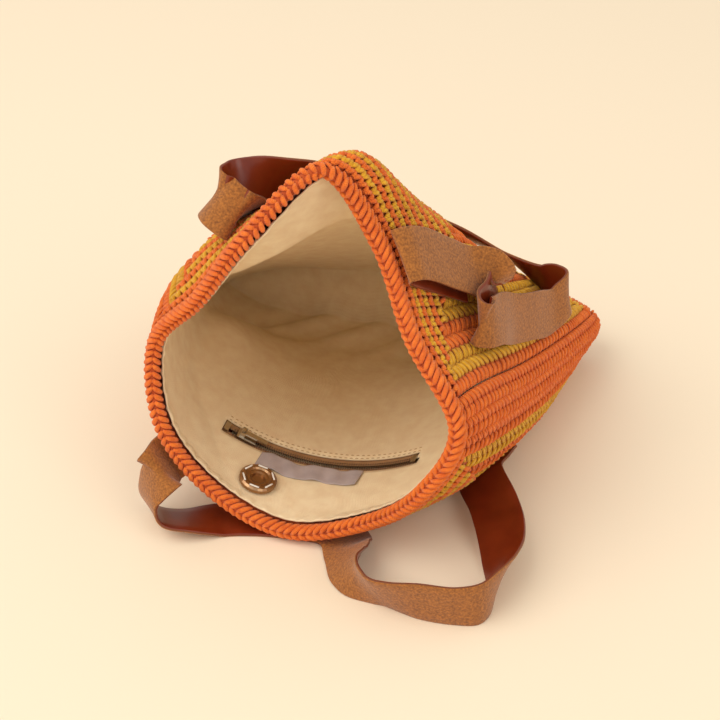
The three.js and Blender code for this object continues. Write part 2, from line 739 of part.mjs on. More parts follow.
function free(x, y, z, wx, wy, wz) {
  return [new THREE.Vector3(x, y, z), new THREE.Vector3(wx, wy, wz)];
}

// From the left end under the panel, round the left loop, back under the rim and round the right loop
// to the right end.
function frontHandle() {
  return strap([
    onCrochet(10.6, 0.34, 0.6, -1), onCrochet(10.6, 0.2, 0.6, -1), onCrochet(10.6, 0.1, 1.6, -1),
    onCrochet(10.6, 0.045, 4.6, -1),
    free(-77, -92, 34, 0.55, -0.6, -0.55),
    free(-82, -94, 25, 0.6, -0.75, -0.1),
    free(-83, -95, 16, 0.6, -0.75, 0.25),
    free(-77, -95, 8, 0.4, -0.85, 0.3),
    free(-62, -90, 4, 0.24, -0.95, 0.25),
    free(-48, -82, STRAP / 2, 0.4, -0.9, 0),
    free(-30, -77, STRAP / 2, 0.1, -1, 0),
    free(-12, -75, STRAP / 2, 0, -1, 0),
    free(6, -77, STRAP / 2, -0.3, -0.95, 0),
    free(18, -86, 3, -0.8, -0.5, -0.25),
    free(24, -98, 7.5, -0.77, 0.15, -0.58),
    free(26.5, -110, 8, -0.65, 0.3, -0.65),
    free(32, -119, 9, -0.56, 0.45, -0.68),
    free(41, -125.5, 10.5, -0.45, 0.45, -0.75),
    free(52, -128.5, 12, -0.25, 0.35, -0.88),
    free(66, -129.5, 13, -0.05, 0.15, -0.98),
    free(84, -128.5, 13, 0, 0.1, -1),
    free(95, -124, 13, 0, 0, -1),
    free(100, -113, 13, -0.1, 0, -1),
    free(101, -99, 12.5, -0.45, 0.05, -0.88),
    free(99, -83, 12, -0.75, 0.1, -0.6),
    free(95, -67, 13, -0.9, 0.15, -0.35),
    free(88, -49, 13, -0.95, 0.2, -0.2),
    onCrochet(7.4, 0.29, 2.4), onCrochet(7.4, 0.34, 0.8), onCrochet(7.4, 0.39, 0.6),
  ]);
}

// From the right end, folded back at the rim, over the panel in an S, behind the ridge and round to the
// left end.
function backHandle() {
  return strap([
    onCrochet(4.68, 0.29, 1.4, -1), onCrochet(4.54, 0.2, 1, -1), onCrochet(4.38, 0.1, 0.8, -1),
    onCrochet(4.27, 0.045, 2, -1), onCrochet(4.22, 0.012, 5, -1), onCrochet(4.26, 0.045, 8, -1),
    onCrochet(4.36, 0.11, 8.2, -1), onCrochet(4.55, 0.22, 8.4, -1), onCrochet(4.66, 0.28, 9.5, -1),
    free(74.5, -16, 129.5, -0.3, 0.1, 0.95),
    free(77, -17, 124, -0.2, 0.05, 0.98),
    free(77, -28, 122, -0.1, 0, 1),
    free(75, -38, 121, -0.1, 0, 1),
    free(77, -45, 119, -0.1, 0, 1),
    free(83, -42, 115, -0.1, 0, 1),
    free(88, -28, 108, -0.1, 0, 1),
    uprightOnCrochet(5.45, 0.38, 1.5), uprightOnCrochet(5.5, 0.48, 1.5), uprightOnCrochet(5.54, 0.56, 2),
    free(108, 42, 88, -0.1, 0.05, 1),
    free(104, 48, 88, -0.2, 0, 1),
    free(93, 51, 99, -0.5, -0.1, 0.85),
    acrossCrochet(4.3, 0.62, 7), acrossCrochet(3.7, 0.58, 4), acrossCrochet(3.1, 0.5, 4),
    acrossCrochet(2.7, 0.4, 5), acrossCrochet(2.45, 0.28, 7),
    free(-38, -40, 178, 0.389, 0.602, 0.699),
    free(-47, -47, 178, 0.389, 0.602, 0.699),
    free(-51, -54, 178, 0.389, 0.602, 0.699),
    free(-47, -60, 177, 0.389, 0.602, 0.699),
    free(-39, -62, 173, 0.389, 0.602, 0.699),
    onCrochet(1.78, 0.14, 2.2), onCrochet(1.72, 0.22, 1.3), onCrochet(1.7, 0.32, 1.3),
  ]);
}

const root = new THREE.Group();

function add(name, geometry, color, roughness, metalness = 0) {
  const mesh = new THREE.Mesh(geometry, new THREE.MeshStandardMaterial({ color, roughness, metalness }));
  mesh.name = name;
  root.add(mesh);
  return mesh;
}

add('back_panel', crochetPanel(0), 0xe0662a, 0.9);
add('front_panel', crochetPanel(HALF), 0xe0662a, 0.9);
add('gusset', gusset(), 0xe0662a, 0.9);
add('rim_edging', rimEdging(), 0xe0662a, 0.9);
const liningMesh = add('lining', lining(), 0xcaa57c, 0.95);
add('zip_tape_rim_side', zipTape(-1), 0x6b4630, 0.8);
add('zip_tape_pocket_side', zipTape(1), 0x6b4630, 0.8);
add('zip_stop_left', zipStop(ZIP_START - TAPE_TAIL), 0xb8b2a6, 0.3, 1);
add('zip_stop_right', zipStop(ZIP_END + STOP / 2), 0xb8b2a6, 0.3, 1);
add('zip_slider', atZip(zipSlider(), SLIDER_AT), 0xb8b2a6, 0.3, 1);
add('zip_pull', atZip(zipPull(), SLIDER_AT), 0xb8b2a6, 0.3, 1);
add('pocket_pouch', pocket(), 0xcaa57c, 0.95);
const socketPlace = [liningMesh, SOCKET_S, SOCKET_FROM_RIM];
const studPlace = [liningMesh, STUD_S, STUD_FROM_RIM];
add('snap_socket', setOnLining(snapSocket(), ...socketPlace, SNAP_DIAMETER / 2, 1), 0xb5a184, 0.3, 1);
add('snap_stud', setOnLining(snapStud(), ...studPlace, STUD_DIAMETER / 2, 1), 0xb5a184, 0.3, 1);
add('socket_washer', setOnLining(washer(), ...socketPlace, WASHER_DIAMETER / 2, -1), 0xb8b2a6, 0.3, 1);
add('stud_washer', setOnLining(washer(), ...studPlace, WASHER_DIAMETER / 2, -1), 0xb8b2a6, 0.3, 1);
add('label', label(), 0xa89aa0, 0.9);
add('front_handle', frontHandle(), 0x9a5a34, 0.8);
add('back_handle', backHandle(), 0x9a5a34, 0.8);

export default root;
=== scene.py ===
import math

import bmesh
import bpy
import numpy as np
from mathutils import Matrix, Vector


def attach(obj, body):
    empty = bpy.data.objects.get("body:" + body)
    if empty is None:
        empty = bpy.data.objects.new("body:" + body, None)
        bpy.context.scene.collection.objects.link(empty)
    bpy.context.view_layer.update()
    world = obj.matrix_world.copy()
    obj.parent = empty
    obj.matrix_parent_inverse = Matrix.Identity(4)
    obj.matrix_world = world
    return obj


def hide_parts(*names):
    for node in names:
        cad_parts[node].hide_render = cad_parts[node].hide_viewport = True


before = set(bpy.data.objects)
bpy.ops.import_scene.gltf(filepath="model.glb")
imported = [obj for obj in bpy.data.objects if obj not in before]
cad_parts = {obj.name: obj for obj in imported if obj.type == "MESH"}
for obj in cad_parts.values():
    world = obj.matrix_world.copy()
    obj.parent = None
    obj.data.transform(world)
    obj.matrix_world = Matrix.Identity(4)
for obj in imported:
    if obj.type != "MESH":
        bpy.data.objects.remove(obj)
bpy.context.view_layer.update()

rng = np.random.default_rng(11)
MM = 0.001
FLOOR_CLEAR = 0.05
TINY = 1e-9

# The bag's surface, as in part.mjs (millimetres): s runs round the mouth in twelve stations,
# t from the mouth (0) to the bottom (1).
MOUTH = [
    (-82, -70, 98), (-52, -80, 137), (-26, -82, 176), (0, -60, 200), (22, -52, 172), (44, -73, 133),
    (75, -95, 92), (61, -99, 56), (34, -89, 24), (4, -92, 9), (-36, -84, 11), (-73, -84, 46),
]
NECK = [
    (-88, -51, 96), (-71, -44, 128), (-34, -53, 164), (10, -43, 199), (27, -26, 176), (51, -54, 128),
    (84, -70, 86), (77, -64, 42), (41, -63, 13), (8, -72, 7), (-38, -67, 8), (-75, -68, 40),
]
BELLY = [
    (-99, 4, 76), (-87, -6, 102), (-39, -12, 136), (1, -2, 153), (36, 14, 145), (73, 0, 104),
    (98, -9, 62), (96, 6, 22), (49, 6, 3), (3, 6, 1), (-48, 4, 2), (-84, -4, 30),
]
HEEL = [
    (-106, 51, 48), (-92, 46, 72), (-43, 55, 88), (8, 59, 98), (62, 55, 93), (96, 58, 70),
    (113, 60, 40), (107, 62, 8), (61, 63, 2), (9, 66, 1), (-50, 68, 2), (-98, 62, 15),
]
FOOT = [
    (-112, 112, 20), (-80, 116, 36), (-40, 118, 40), (0, 119, 42), (42, 118, 42), (88, 116, 40),
    (122, 114, 22), (92, 108, 4), (44, 109, 3), (0, 110, 3), (-40, 110, 3), (-80, 110, 4),
]
SECTION_AT = np.array([0, 0.15, 0.4, 0.7, 1])
STATIONS = 12
HALF = STATIONS // 2
DENSE = 20 * STATIONS
DEPTH = 230
STATION_LENGTH = 47
GUSSET = 28
SEAM = GUSSET / 2 / STATION_LENGTH
RIM_HEIGHT = 8
RIM_CLEAR = 2.4
TOP = RIM_CLEAR + RIM_HEIGHT / 2
CROCHET = 4.4
GAP = 0.3
LINING_LIFT = -4.5


def reach_along(points):
    """The length of a line of points up to each point."""
    return np.concatenate([[0], np.cumsum(np.linalg.norm(np.diff(points, axis=0), axis=1))])


def ease(x):
    return x * x * (3 - 2 * x)


def even_stations(points):
    """The stations of one section, spread evenly over the back half and over the front half."""
    p = np.array(points, float)
    dense = []
    for i in range(DENSE):
        u = i / DENSE * STATIONS
        k = int(u)
        x = u - k
        p0, p1, p2, p3 = (p[(k + j) % STATIONS] for j in (-1, 0, 1, 2))
        dense.append(0.5 * (2 * p1 + (p2 - p0) * x + (2 * p0 - 5 * p1 + 4 * p2 - p3) * x ** 2
                            + (3 * p1 - p0 - 3 * p2 + p3) * x ** 3))
    dense = np.array(dense + dense[:1])
    even = []
    for half in (0, 1):
        first = half * DENSE // 2
        part = dense[first:first + DENSE // 2 + 1]
        reach = reach_along(part)
        want = reach[-1] * np.arange(HALF) / HALF
        even.append(np.stack([np.interp(want, reach, part[:, c]) for c in range(3)], 1))
    return np.concatenate(even)


SECTIONS = np.array([even_stations(x) for x in (MOUTH, NECK, BELLY, HEEL, FOOT)])
RISES = np.diff(SECTIONS, axis=0) / np.diff(SECTION_AT)[:, None, None]
STEPS = np.diff(SECTION_AT)
SLOPES = np.array(
    [RISES[0]]
    + [(RISES[k - 1] * STEPS[k] + RISES[k] * STEPS[k - 1]) / (STEPS[k] + STEPS[k - 1])
       for k in range(1, len(STEPS))]
    + [RISES[-1]])


def surface(s, t):
    """A point of the bag's wall: a Hermite curve down the sections, a Catmull-Rom curve round them."""
    s, t = np.broadcast_arrays(np.asarray(s, float), np.asarray(t, float))
    k = np.clip(np.searchsorted(SECTION_AT, t, side="left") - 1, 0, len(STEPS) - 1)
    h = STEPS[k]
    x = (t - SECTION_AT[k]) / h
    a = [2 * x ** 3 - 3 * x ** 2 + 1, (x ** 3 - 2 * x ** 2 + x) * h,
         3 * x ** 2 - 2 * x ** 3, (x ** 3 - x ** 2) * h]
    base = np.floor(s).astype(int)
    y = s - base
    w = [(-y + 2 * y ** 2 - y ** 3) / 2, (2 - 5 * y ** 2 + 3 * y ** 3) / 2,
         (y + 4 * y ** 2 - 3 * y ** 3) / 2, (y ** 3 - y ** 2) / 2]
    out = 0
    for j in range(4):
        n = (base + j - 1) % STATIONS
        p = (SECTIONS[k, n] * a[0][..., None] + SLOPES[k, n] * a[1][..., None]
             + SECTIONS[k + 1, n] * a[2][..., None] + SLOPES[k + 1, n] * a[3][..., None])
        out = out + p * w[j][..., None]
    return out


def unit(v):
    return v / np.maximum(np.linalg.norm(v, axis=-1, keepdims=True), TINY)


NEAR_S = 0.02
NEAR_T = 0.004


def surface_normal(s, t):
    around = surface(s + NEAR_S, t) - surface(s - NEAR_S, t)
    along = surface(s, np.minimum(1, t + NEAR_T)) - surface(s, np.maximum(0, t - NEAR_T))
    return unit(np.cross(around, along))


TABLE_S = np.linspace(0, STATIONS, 481)
TABLE_T = np.linspace(0, 0.3, 61)
TABLE_REACH = [reach_along(line) for line in surface(TABLE_S[:, None], TABLE_T[None, :])]


def below_rim(s, distance):
    """The t at a distance from the mouth along the wall."""
    found = np.array([np.interp(distance, row, TABLE_T) for row in TABLE_REACH])
    return np.interp(np.mod(s, STATIONS), TABLE_S, found)


# Meshes

YARN_TURN = 1.5


def above_floor(verts):
    verts[:, 2] = np.maximum(verts[:, 2], FLOOR_CLEAR)
    return verts


def make_mesh(name, verts, faces, materials, face_material=None, attributes=None, smooth=True):
    mesh = bpy.data.meshes.new(name)
    verts = np.asarray(verts, float).reshape(-1, 3) * MM
    mesh.from_pydata(verts.tolist(), [], [tuple(f) for f in faces])
    if attributes:
        for key, values in attributes.items():
            layer = mesh.attributes.new(key, "FLOAT", "POINT")
            layer.data.foreach_set("value", np.asarray(values, np.float32).ravel())
    for m in materials:
        mesh.materials.append(m)
    if face_material is not None:
        mesh.polygons.foreach_set("material_index", np.asarray(face_material, np.int32))
    mesh.polygons.foreach_set("use_smooth", np.full(len(mesh.polygons), smooth))
    mesh.update()
    obj = bpy.data.objects.new(name, mesh)
    bpy.context.scene.collection.objects.link(obj)
    return obj


def tubes(centres, ups, radius, sides):
    """Closed tubes along many curves at once: centres (n, k, 3), ups (n, k, 3), radius (k,) or one number.

    Returns vertices, side faces, end faces and, for each vertex, the turns of the yarn's twist.
    """
    n, k, _ = centres.shape
    tangent = unit(np.gradient(centres, axis=1))
    side = unit(np.cross(tangent, ups))
    up = np.cross(side, tangent)
    angle = 2 * np.pi * np.arange(sides) / sides
    radius = np.broadcast_to(radius, (n, k))[..., None, None]
    ring = (centres[:, :, None] + radius * (np.cos(angle)[None, None, :, None] * side[:, :, None]
                                            + np.sin(angle)[None, None, :, None] * up[:, :, None]))
    verts = ring.reshape(-1, 3)
    along = np.array([reach_along(line) for line in centres])
    twist = along[:, :, None] / YARN_TURN + (angle / (2 * np.pi))[None, None, :]
    base = (np.arange(n) * k * sides)[:, None, None]
    row = (np.arange(k - 1) * sides)[None, :, None]
    col = np.arange(sides)[None, None, :]
    nxt = (col + 1) % sides
    here, ahead = base + row, base + row + sides
    quads = np.stack([here + col, here + nxt, ahead + nxt, ahead + col], -1).reshape(-1, 4)
    start = base.reshape(-1, 1) + np.arange(sides)[None, ::-1]
    end = base.reshape(-1, 1) + (k - 1) * sides + np.arange(sides)[None, :]
    return verts, quads, np.concatenate([start, end]), twist.ravel()


def tube_piece(name, groups, material):
    """One piece from several groups of tubes (centres, ups, radius, sides)."""
    verts, faces, twists = [], [], []
    offset = 0
    for centres, ups, radius, sides in groups:
        v, q, caps, tw = tubes(centres, ups, radius, sides)
        verts.append(v)
        twists.append(tw)
        faces += (q + offset).tolist()
        faces += (caps + offset).tolist()
        offset += len(v)
    verts = above_floor(np.concatenate(verts))
    return make_mesh(name, verts, faces, [material], attributes={"twist": np.concatenate(twists)})


def grid_faces(rows, cols):
    """Quads of a grid of points, row by row."""
    first = np.arange(rows - 1)[:, None] * cols + np.arange(cols - 1)[None, :]
    return np.stack([first, first + 1, first + cols + 1, first + cols], -1).reshape(-1, 4)


def sheet_solid(points, normals, thick):
    """Vertices and faces of a closed sheet from a grid of middle points."""
    rows, cols, _ = points.shape
    outer = (points + normals * thick / 2).reshape(-1, 3)
    inner = (points - normals * thick / 2).reshape(-1, 3)
    n = rows * cols
    top = grid_faces(rows, cols)
    under = top[:, ::-1] + n
    edge = []
    last = (rows - 1) * cols
    for j in range(cols - 1):
        edge.append((j + 1, j, n + j, n + j + 1))
        edge.append((last + j, last + j + 1, n + last + j + 1, n + last + j))
    for i in range(rows - 1):
        a, b = i * cols, (i + 1) * cols
        edge.append((a, b, n + b, n + a))
        edge.append((b + cols - 1, a + cols - 1, n + a + cols - 1, n + b + cols - 1))
    return above_floor(np.concatenate([outer, inner])), np.concatenate([top, under, np.array(edge)])


# Materials

def material(name, color, rough, metal=0.0, sheen=0.0):
    """A plain material; returns it with its node tree and shader."""
    m = bpy.data.materials.new(name)
    m.use_nodes = True
    shader = m.node_tree.nodes["Principled BSDF"]
    shader.inputs["Base Color"].default_value = (*color, 1)
    shader.inputs["Roughness"].default_value = rough
    shader.inputs["Metallic"].default_value = metal
    shader.inputs["Sheen Weight"].default_value = sheen
    return m, m.node_tree, shader


def plain(name, color, rough, metal=0.0):
    return material(name, color, rough, metal)[0]


def linear(r, g, b):
    """From sRGB, 0 to 255, to the shader's linear colour."""
    return tuple((c / 255 / 12.92) if c <= 10 else ((c / 255 + 0.055) / 1.055) ** 2.4 for c in (r, g, b))


def add_noise_color(tree, shader, low, high, scale, detail=4.0):
    """Mottles the base colour between low and high; returns the coordinates and the noise."""
    coords = tree.nodes.new("ShaderNodeTexCoord")
    noise = tree.nodes.new("ShaderNodeTexNoise")
    noise.inputs["Scale"].default_value = scale
    noise.inputs["Detail"].default_value = detail
    ramp = tree.nodes.new("ShaderNodeValToRGB")
    ramp.color_ramp.elements[0].position = 0.3
    ramp.color_ramp.elements[1].position = 0.7
    ramp.color_ramp.elements[0].color = (*low, 1)
    ramp.color_ramp.elements[1].color = (*high, 1)
    tree.links.new(coords.outputs["Object"], noise.inputs["Vector"])
    tree.links.new(noise.outputs["Fac"], ramp.inputs["Fac"])
    tree.links.new(ramp.outputs["Color"], shader.inputs["Base Color"])
    return coords, noise


def add_bump(tree, shader, height, strength, distance):
    bump = tree.nodes.new("ShaderNodeBump")
    bump.inputs["Strength"].default_value = strength
    bump.inputs["Distance"].default_value = distance
    tree.links.new(height, bump.inputs["Height"])
    tree.links.new(bump.outputs["Normal"], shader.inputs["Normal"])


def yarn(name, low, high):
    """Mottled cotton with the ridges of its plies, from the twist that tubes gives."""
    m, tree, shader = material(name, high, 0.9, sheen=0.15)
    add_noise_color(tree, shader, low, high, 260.0)
    attribute = tree.nodes.new("ShaderNodeAttribute")
    attribute.attribute_name = "twist"
    scale = tree.nodes.new("ShaderNodeMath")
    scale.operation = "MULTIPLY"
    scale.inputs[1].default_value = 4 * math.pi
    wave = tree.nodes.new("ShaderNodeMath")
    wave.operation = "SINE"
    tree.links.new(attribute.outputs["Fac"], scale.inputs[0])
    tree.links.new(scale.outputs[0], wave.inputs[0])
    add_bump(tree, shader, wave.outputs[0], 0.5, 0.0004)
    return m


def woven(name, low, high, thread, strength=0.35):
    """Plain weave: waves of threads along the three axes of object space, with slubs."""
    m, tree, shader = material(name, high, 0.95, sheen=0.1)
    coords, _ = add_noise_color(tree, shader, low, high, 140.0, 6.0)
    total = None
    for axis in ("X", "Y", "Z"):
        wave = tree.nodes.new("ShaderNodeTexWave")
        wave.bands_direction = axis
        wave.inputs["Scale"].default_value = thread
        wave.inputs["Distortion"].default_value = 1.5
        wave.inputs["Detail"].default_value = 2.0
        tree.links.new(coords.outputs["Object"], wave.inputs["Vector"])
        if total is None:
            total = wave.outputs["Fac"]
        else:
            both = tree.nodes.new("ShaderNodeMath")
            both.operation = "ADD"
            tree.links.new(total, both.inputs[0])
            tree.links.new(wave.outputs["Fac"], both.inputs[1])
            total = both.outputs[0]
    add_bump(tree, shader, total, strength, 0.0003)
    return m


def leather(name, base, low, high, rough, scale, strength, distance, detail=4.0, sheen=0.0):
    m, tree, shader = material(name, base, rough, sheen=sheen)
    _, noise = add_noise_color(tree, shader, low, high, scale, detail)
    add_bump(tree, shader, noise.outputs["Fac"], strength, distance)
    return m


ORANGE = yarn("yarn_orange", linear(226, 100, 22), linear(250, 130, 40))
YELLOW = yarn("yarn_yellow", linear(214, 150, 20), linear(242, 184, 44))
# The backing under the stitches stands for the crochet's hidden body. Its orange is darker than either
# yarn, under the yellow rows too, as painted shade in the gaps between stitches.
SHADED_BACKING = yarn("yarn_backing_painted_shade", linear(176, 72, 24), linear(200, 92, 36))
LINEN = woven("linen", linear(240, 212, 170), linear(250, 228, 188), 900.0)
LABEL_WEAVE = woven("label_weave", linear(168, 152, 150), linear(186, 170, 168), 1300.0, 0.2)
TAPE_WEAVE = woven("zip_tape", linear(150, 108, 68), linear(176, 132, 88), 1300.0, 0.2)
THREAD = plain("thread", linear(196, 156, 108), 0.8)
COIL = plain("zip_coil", linear(112, 78, 50), 0.45)
SUEDE = leather("suede", linear(176, 106, 58), linear(124, 72, 28), linear(184, 114, 46), 0.95,
                scale=900.0, strength=0.6, distance=0.0004, detail=8.0, sheen=0.25)
GLOSS = leather("leather_gloss", linear(120, 42, 16), linear(108, 34, 12), linear(132, 50, 20), 0.3,
                scale=60.0, strength=0.06, distance=0.0005)
EDGE = plain("leather_edge", linear(120, 66, 36), 0.7)
DASH = plain("snap_dash", linear(236, 230, 220), 0.4)
STEEL = plain("zip_metal", linear(205, 196, 182), 0.28, 1.0)
NICKEL = plain("snap_metal", linear(206, 192, 174), 0.3, 1.0)
BRONZE = plain("snap_bronze", linear(168, 132, 98), 0.32, 1.0)


def on_bag(obj, slot, *nodes):
    """Puts a piece on the bag's body, in place of these solids. The slot is not used."""
    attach(obj, "bag")
    if nodes:
        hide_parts(*nodes)
    return obj


# Crochet panels

SEAM_GAP = 0.9 / STATION_LENGTH
PANEL_S = SEAM + SEAM_GAP
PANEL_SPAN = HALF - 2 * PANEL_S
PANEL_W = PANEL_SPAN * STATION_LENGTH
PANEL_H = DEPTH - TOP
ROW = 6
BACKING_LIFT = -0.8
BACKING_THICK = 2.6


def panel_st(first, a, b):
    """From flat panel millimetres (a across, b down from the rim) to s and t."""
    s = first + PANEL_S + PANEL_SPAN * a / PANEL_W
    top = below_rim(s, TOP)
    return s, top + (1 - top) * np.clip(b / PANEL_H, -0.02, 1.0)


def on_panel(first, a, b, lift):
    """Points lifted off the panel, and the panel's normals there."""
    s, t = panel_st(first, a, b)
    normal = surface_normal(s, t)
    return surface(s, t) + normal * np.asarray(lift)[..., None], normal


# Legs of one stitch as (along the row, across the row, lift) in millimetres: slanted posts on the sides
# along the seams, V-shaped tufts on the sides along the rim and the bottom. A pitch is the wish for the
# distance between stitches, and a span is the distance that the legs are drawn for.
LEG = 5
POST = [
    [(-2.0, -3.0, 0.6), (-1.3, -1.5, 1.6), (-0.5, 0.2, 1.9), (0.3, 1.9, 1.5), (0.8, 3.0, 0.5)],
    [(0.3, -3.0, 0.2), (0.9, -1.5, 1.0), (1.6, 0.2, 1.2), (2.2, 1.9, 0.9), (2.5, 3.0, 0.2)],
]
TUFT = [
    [(0.1, -3.0, 0.2), (-0.7, -1.5, 1.9), (-1.35, 0.3, 2.5), (-1.75, 1.8, 1.7), (-1.9, 2.7, 0.2)],
    [(0.1, -3.0, 0.2), (0.8, -1.5, 1.9), (1.35, 0.3, 2.5), (1.75, 1.8, 1.7), (1.9, 2.7, 0.2)],
]
POST_PITCH, TUFT_PITCH = 4.6, 4.7
POST_SPAN, TUFT_SPAN = 3.9, 4.3
POST_RADIUS = np.array([0.6, 0.8, 0.85, 0.8, 0.6])
TUFT_RADIUS = np.array([0.7, 1.15, 1.3, 1.15, 0.7])
STITCH_SIDES = 6
PANEL_JITTER = 0.12
GUSSET_JITTER = 0.1


def panel_stitches(first):
    """Centre lines of every stitch leg of a panel, kept apart by colour and kind.

    Each round has four sides: 0 along the rim, 1 and 3 along the seams, 2 along the bottom.
    """
    found = {}
    half = min(PANEL_W, PANEL_H) / 2
    row = 0
    while (row + 0.5) * ROW < half:
        d = (row + 0.5) * ROW
        for side in range(4):
            seamward = side % 2
            if not seamward and row:
                color = "yellow" if row % 2 else "orange"
            else:
                color = "yellow" if ((row + 1) // 2) % 2 else "orange"
            length = (PANEL_H if seamward else PANEL_W) - 2 * d
            pitch = POST_PITCH if seamward else TUFT_PITCH
            count = max(1, int(round(length / pitch)))
            u = d + (np.arange(count) + 0.5) * length / count + rng.normal(0, PANEL_JITTER, count)
            legs = np.array(POST if seamward else TUFT)
            if not seamward and row % 2:
                u = u + pitch / 2 * (-1 if side else 1)
            stretch = length / count / (POST_SPAN if seamward else TUFT_SPAN)
            dv = legs[None, :, :, 1] * (1 if row % 2 or not seamward else -1)
            lift = legs[None, :, :, 2] + rng.normal(0, PANEL_JITTER, (count, 1, 1))
            uu = u[:, None, None] + legs[None, :, :, 0] * stretch
            vv = np.broadcast_to(d - dv, uu.shape)
            if side == 0:
                a, b = uu, vv
            elif side == 1:
                a, b = PANEL_W - vv, uu
            elif side == 2:
                a, b = PANEL_W - uu, PANEL_H - vv
            else:
                a, b = vv, PANEL_H - uu
            place, normal = on_panel(first, a, b, lift)
            found.setdefault((color, seamward), []).append(
                (place.reshape(-1, LEG, 3), normal.reshape(-1, LEG, 3)))
        row += 1
    return {k: [np.concatenate(x) for x in zip(*v)] for k, v in found.items()}


def panel(name, first):
    a, b = np.meshgrid(np.linspace(0, PANEL_W, 73), np.linspace(0, PANEL_H, 65))
    points, normals = on_panel(first, a, b, np.full(a.shape, BACKING_LIFT))
    verts, faces = sheet_solid(points, normals, BACKING_THICK)
    # The backing sheet's darker orange is painted shade between the stitches.
    base = make_mesh(name + "_backing", verts, faces[:, ::-1], [SHADED_BACKING])
    on_bag(base, "crochet", name)
    groups = panel_stitches(first)
    for color, mat in (("orange", ORANGE), ("yellow", YELLOW)):
        parts = []
        for seamward, radius in ((1, POST_RADIUS), (0, TUFT_RADIUS)):
            centres, ups = groups[(color, seamward)]
            parts.append((centres, ups, radius, STITCH_SIDES))
        on_bag(tube_piece(f"{name}_{color}", parts, mat), "crochet")


panel("back_panel", 0)
panel("front_panel", HALF)


# Gusset: rows of stitches down one side, along the bottom and up the other side

GUSSET_ROWS = 5
GUSSET_BOW = 1.5
TURN_START, TURN = 0.9, 0.2


def gusset_point(u, v):
    """A point of the gusset: v from -1 to 1 across it, u from 0 at the left end of the mouth,
    over 1 and 2 at the two ends of the bottom, to 3 at the right end of the mouth.
    """
    u, v = np.broadcast_arrays(np.asarray(u, float), np.asarray(v, float))
    fall = np.clip(u, 0, 1)
    left = surface(-SEAM * v, below_rim(-SEAM * v, TOP) * (1 - fall) + fall)
    fall = np.clip(3 - u, 0, 1)
    right = surface(HALF + SEAM * v, below_rim(HALF + SEAM * v, TOP) * (1 - fall) + fall)
    mid = np.clip(u - 1, 0, 1)
    span = HALF - 2 * SEAM
    back = surface(SEAM + span * mid, np.ones_like(mid))
    front = surface(STATIONS - SEAM - span * mid, np.ones_like(mid))
    w = ((v + 1) / 2)[..., None]
    foot = back * (1 - w) + front * w
    foot[..., 1] += CROCHET + GAP
    foot[..., 1] += GUSSET_BOW * np.sqrt(np.clip(1 - v ** 2, 0, 1))
    blend_in = ease(np.clip((u - TURN_START) / TURN, 0, 1))[..., None]
    blend_out = ease(np.clip((3 - TURN_START - u) / TURN, 0, 1))[..., None]
    first = left * (1 - blend_in) + foot * blend_in
    return np.where((u < 1.5)[..., None], first, right * (1 - blend_out) + foot * blend_out)


NEAR_U = 0.004
NEAR_V = 0.03


def gusset_frame(u, v):
    along = gusset_point(u + NEAR_U, v) - gusset_point(u - NEAR_U, v)
    across = gusset_point(u, v + NEAR_V) - gusset_point(u, v - NEAR_V)
    return gusset_point(u, v), unit(np.cross(along, across))


def gusset():
    u = np.concatenate(
        [np.linspace(0.0, 0.97, 56), np.linspace(0.98, 2.02, 70), np.linspace(2.03, 3, 56)])
    uu, vv = np.meshgrid(u, np.linspace(-1, 1, 11), indexing="ij")
    points, normals = gusset_frame(uu, vv)
    verts, faces = sheet_solid(points + normals * BACKING_LIFT, normals, BACKING_THICK)
    # The gusset's backing sheet is painted shade between its stitches, in the same darker orange.
    base = make_mesh("gusset_backing", verts, faces[:, ::-1], [SHADED_BACKING])
    on_bag(base, "crochet", "gusset")
    dense_u = np.linspace(0.0, 3.0, 900)
    reach = reach_along(gusset_point(dense_u, 0.0))
    count = int(reach[-1] / POST_PITCH)
    at = (np.arange(count) + 0.5) / count * reach[-1]
    legs = np.array(POST)
    parts = []
    for row in range(GUSSET_ROWS):
        middle = (row + 0.5) / GUSSET_ROWS * 2 - 1
        lean = (1 if row % 2 else -1) * 2.0 / GUSSET
        u_at = np.interp(at[:, None, None] + legs[None, :, :, 0], reach, dense_u)
        v_at = np.broadcast_to(middle + legs[None, :, :, 1] * lean, u_at.shape)
        place, normal = gusset_frame(u_at, np.clip(v_at, -1, 1))
        lift = legs[None, :, :, 2] + rng.normal(0, GUSSET_JITTER, (count, 1, 1))
        place = place + normal * lift[..., None]
        parts.append((place.reshape(-1, LEG, 3), normal.reshape(-1, LEG, 3), POST_RADIUS, STITCH_SIDES))
    stitches = on_bag(tube_piece("gusset_orange", parts, ORANGE), "crochet")


gusset()


# Rim: two rows of fat loops that lean against each other like a braid, with a thinner row below them
# on the outside. Loops are given as (along the rim, outward, down from the mouth) in millimetres.
RIM_PITCH = 3.9
RIM_LOOPS = [
    [(-2.6, 2.9, 3.0), (-1.4, 3.3, 1.0), (0.1, 2.8, -0.9), (1.6, 1.6, -2.2), (2.8, 0.2, -2.4)],
    [(-2.6, -2.7, 3.0), (-1.4, -3.1, 1.0), (0.1, -2.6, -0.9), (1.6, -1.4, -2.2), (2.8, 0.0, -2.2)],
    [(-2.2, 2.7, 4.4), (-1.1, 3.0, 3.5), (0.0, 3.1, 2.7), (1.1, 2.9, 1.9), (2.2, 2.4, 1.2)],
]
RIM_FATNESS = (1.0, 1.0, 0.7)
RIM_RADIUS = np.array([0.8, 1.25, 1.4, 1.25, 0.8])
RIM_UPWARD = 3
RIM_SIDES = 8
CORE_OUT, CORE_DOWN, CORE_DROP = 2.2, 2.9, 1.0
CORE_SIDES = 12


def rim_frame(s):
    """Points of the mouth with their outward and downward directions."""
    centre = surface(s, 0.0)
    return centre, surface_normal(s, np.full(s.shape, 0.002)), unit(surface(s, 0.02) - centre)


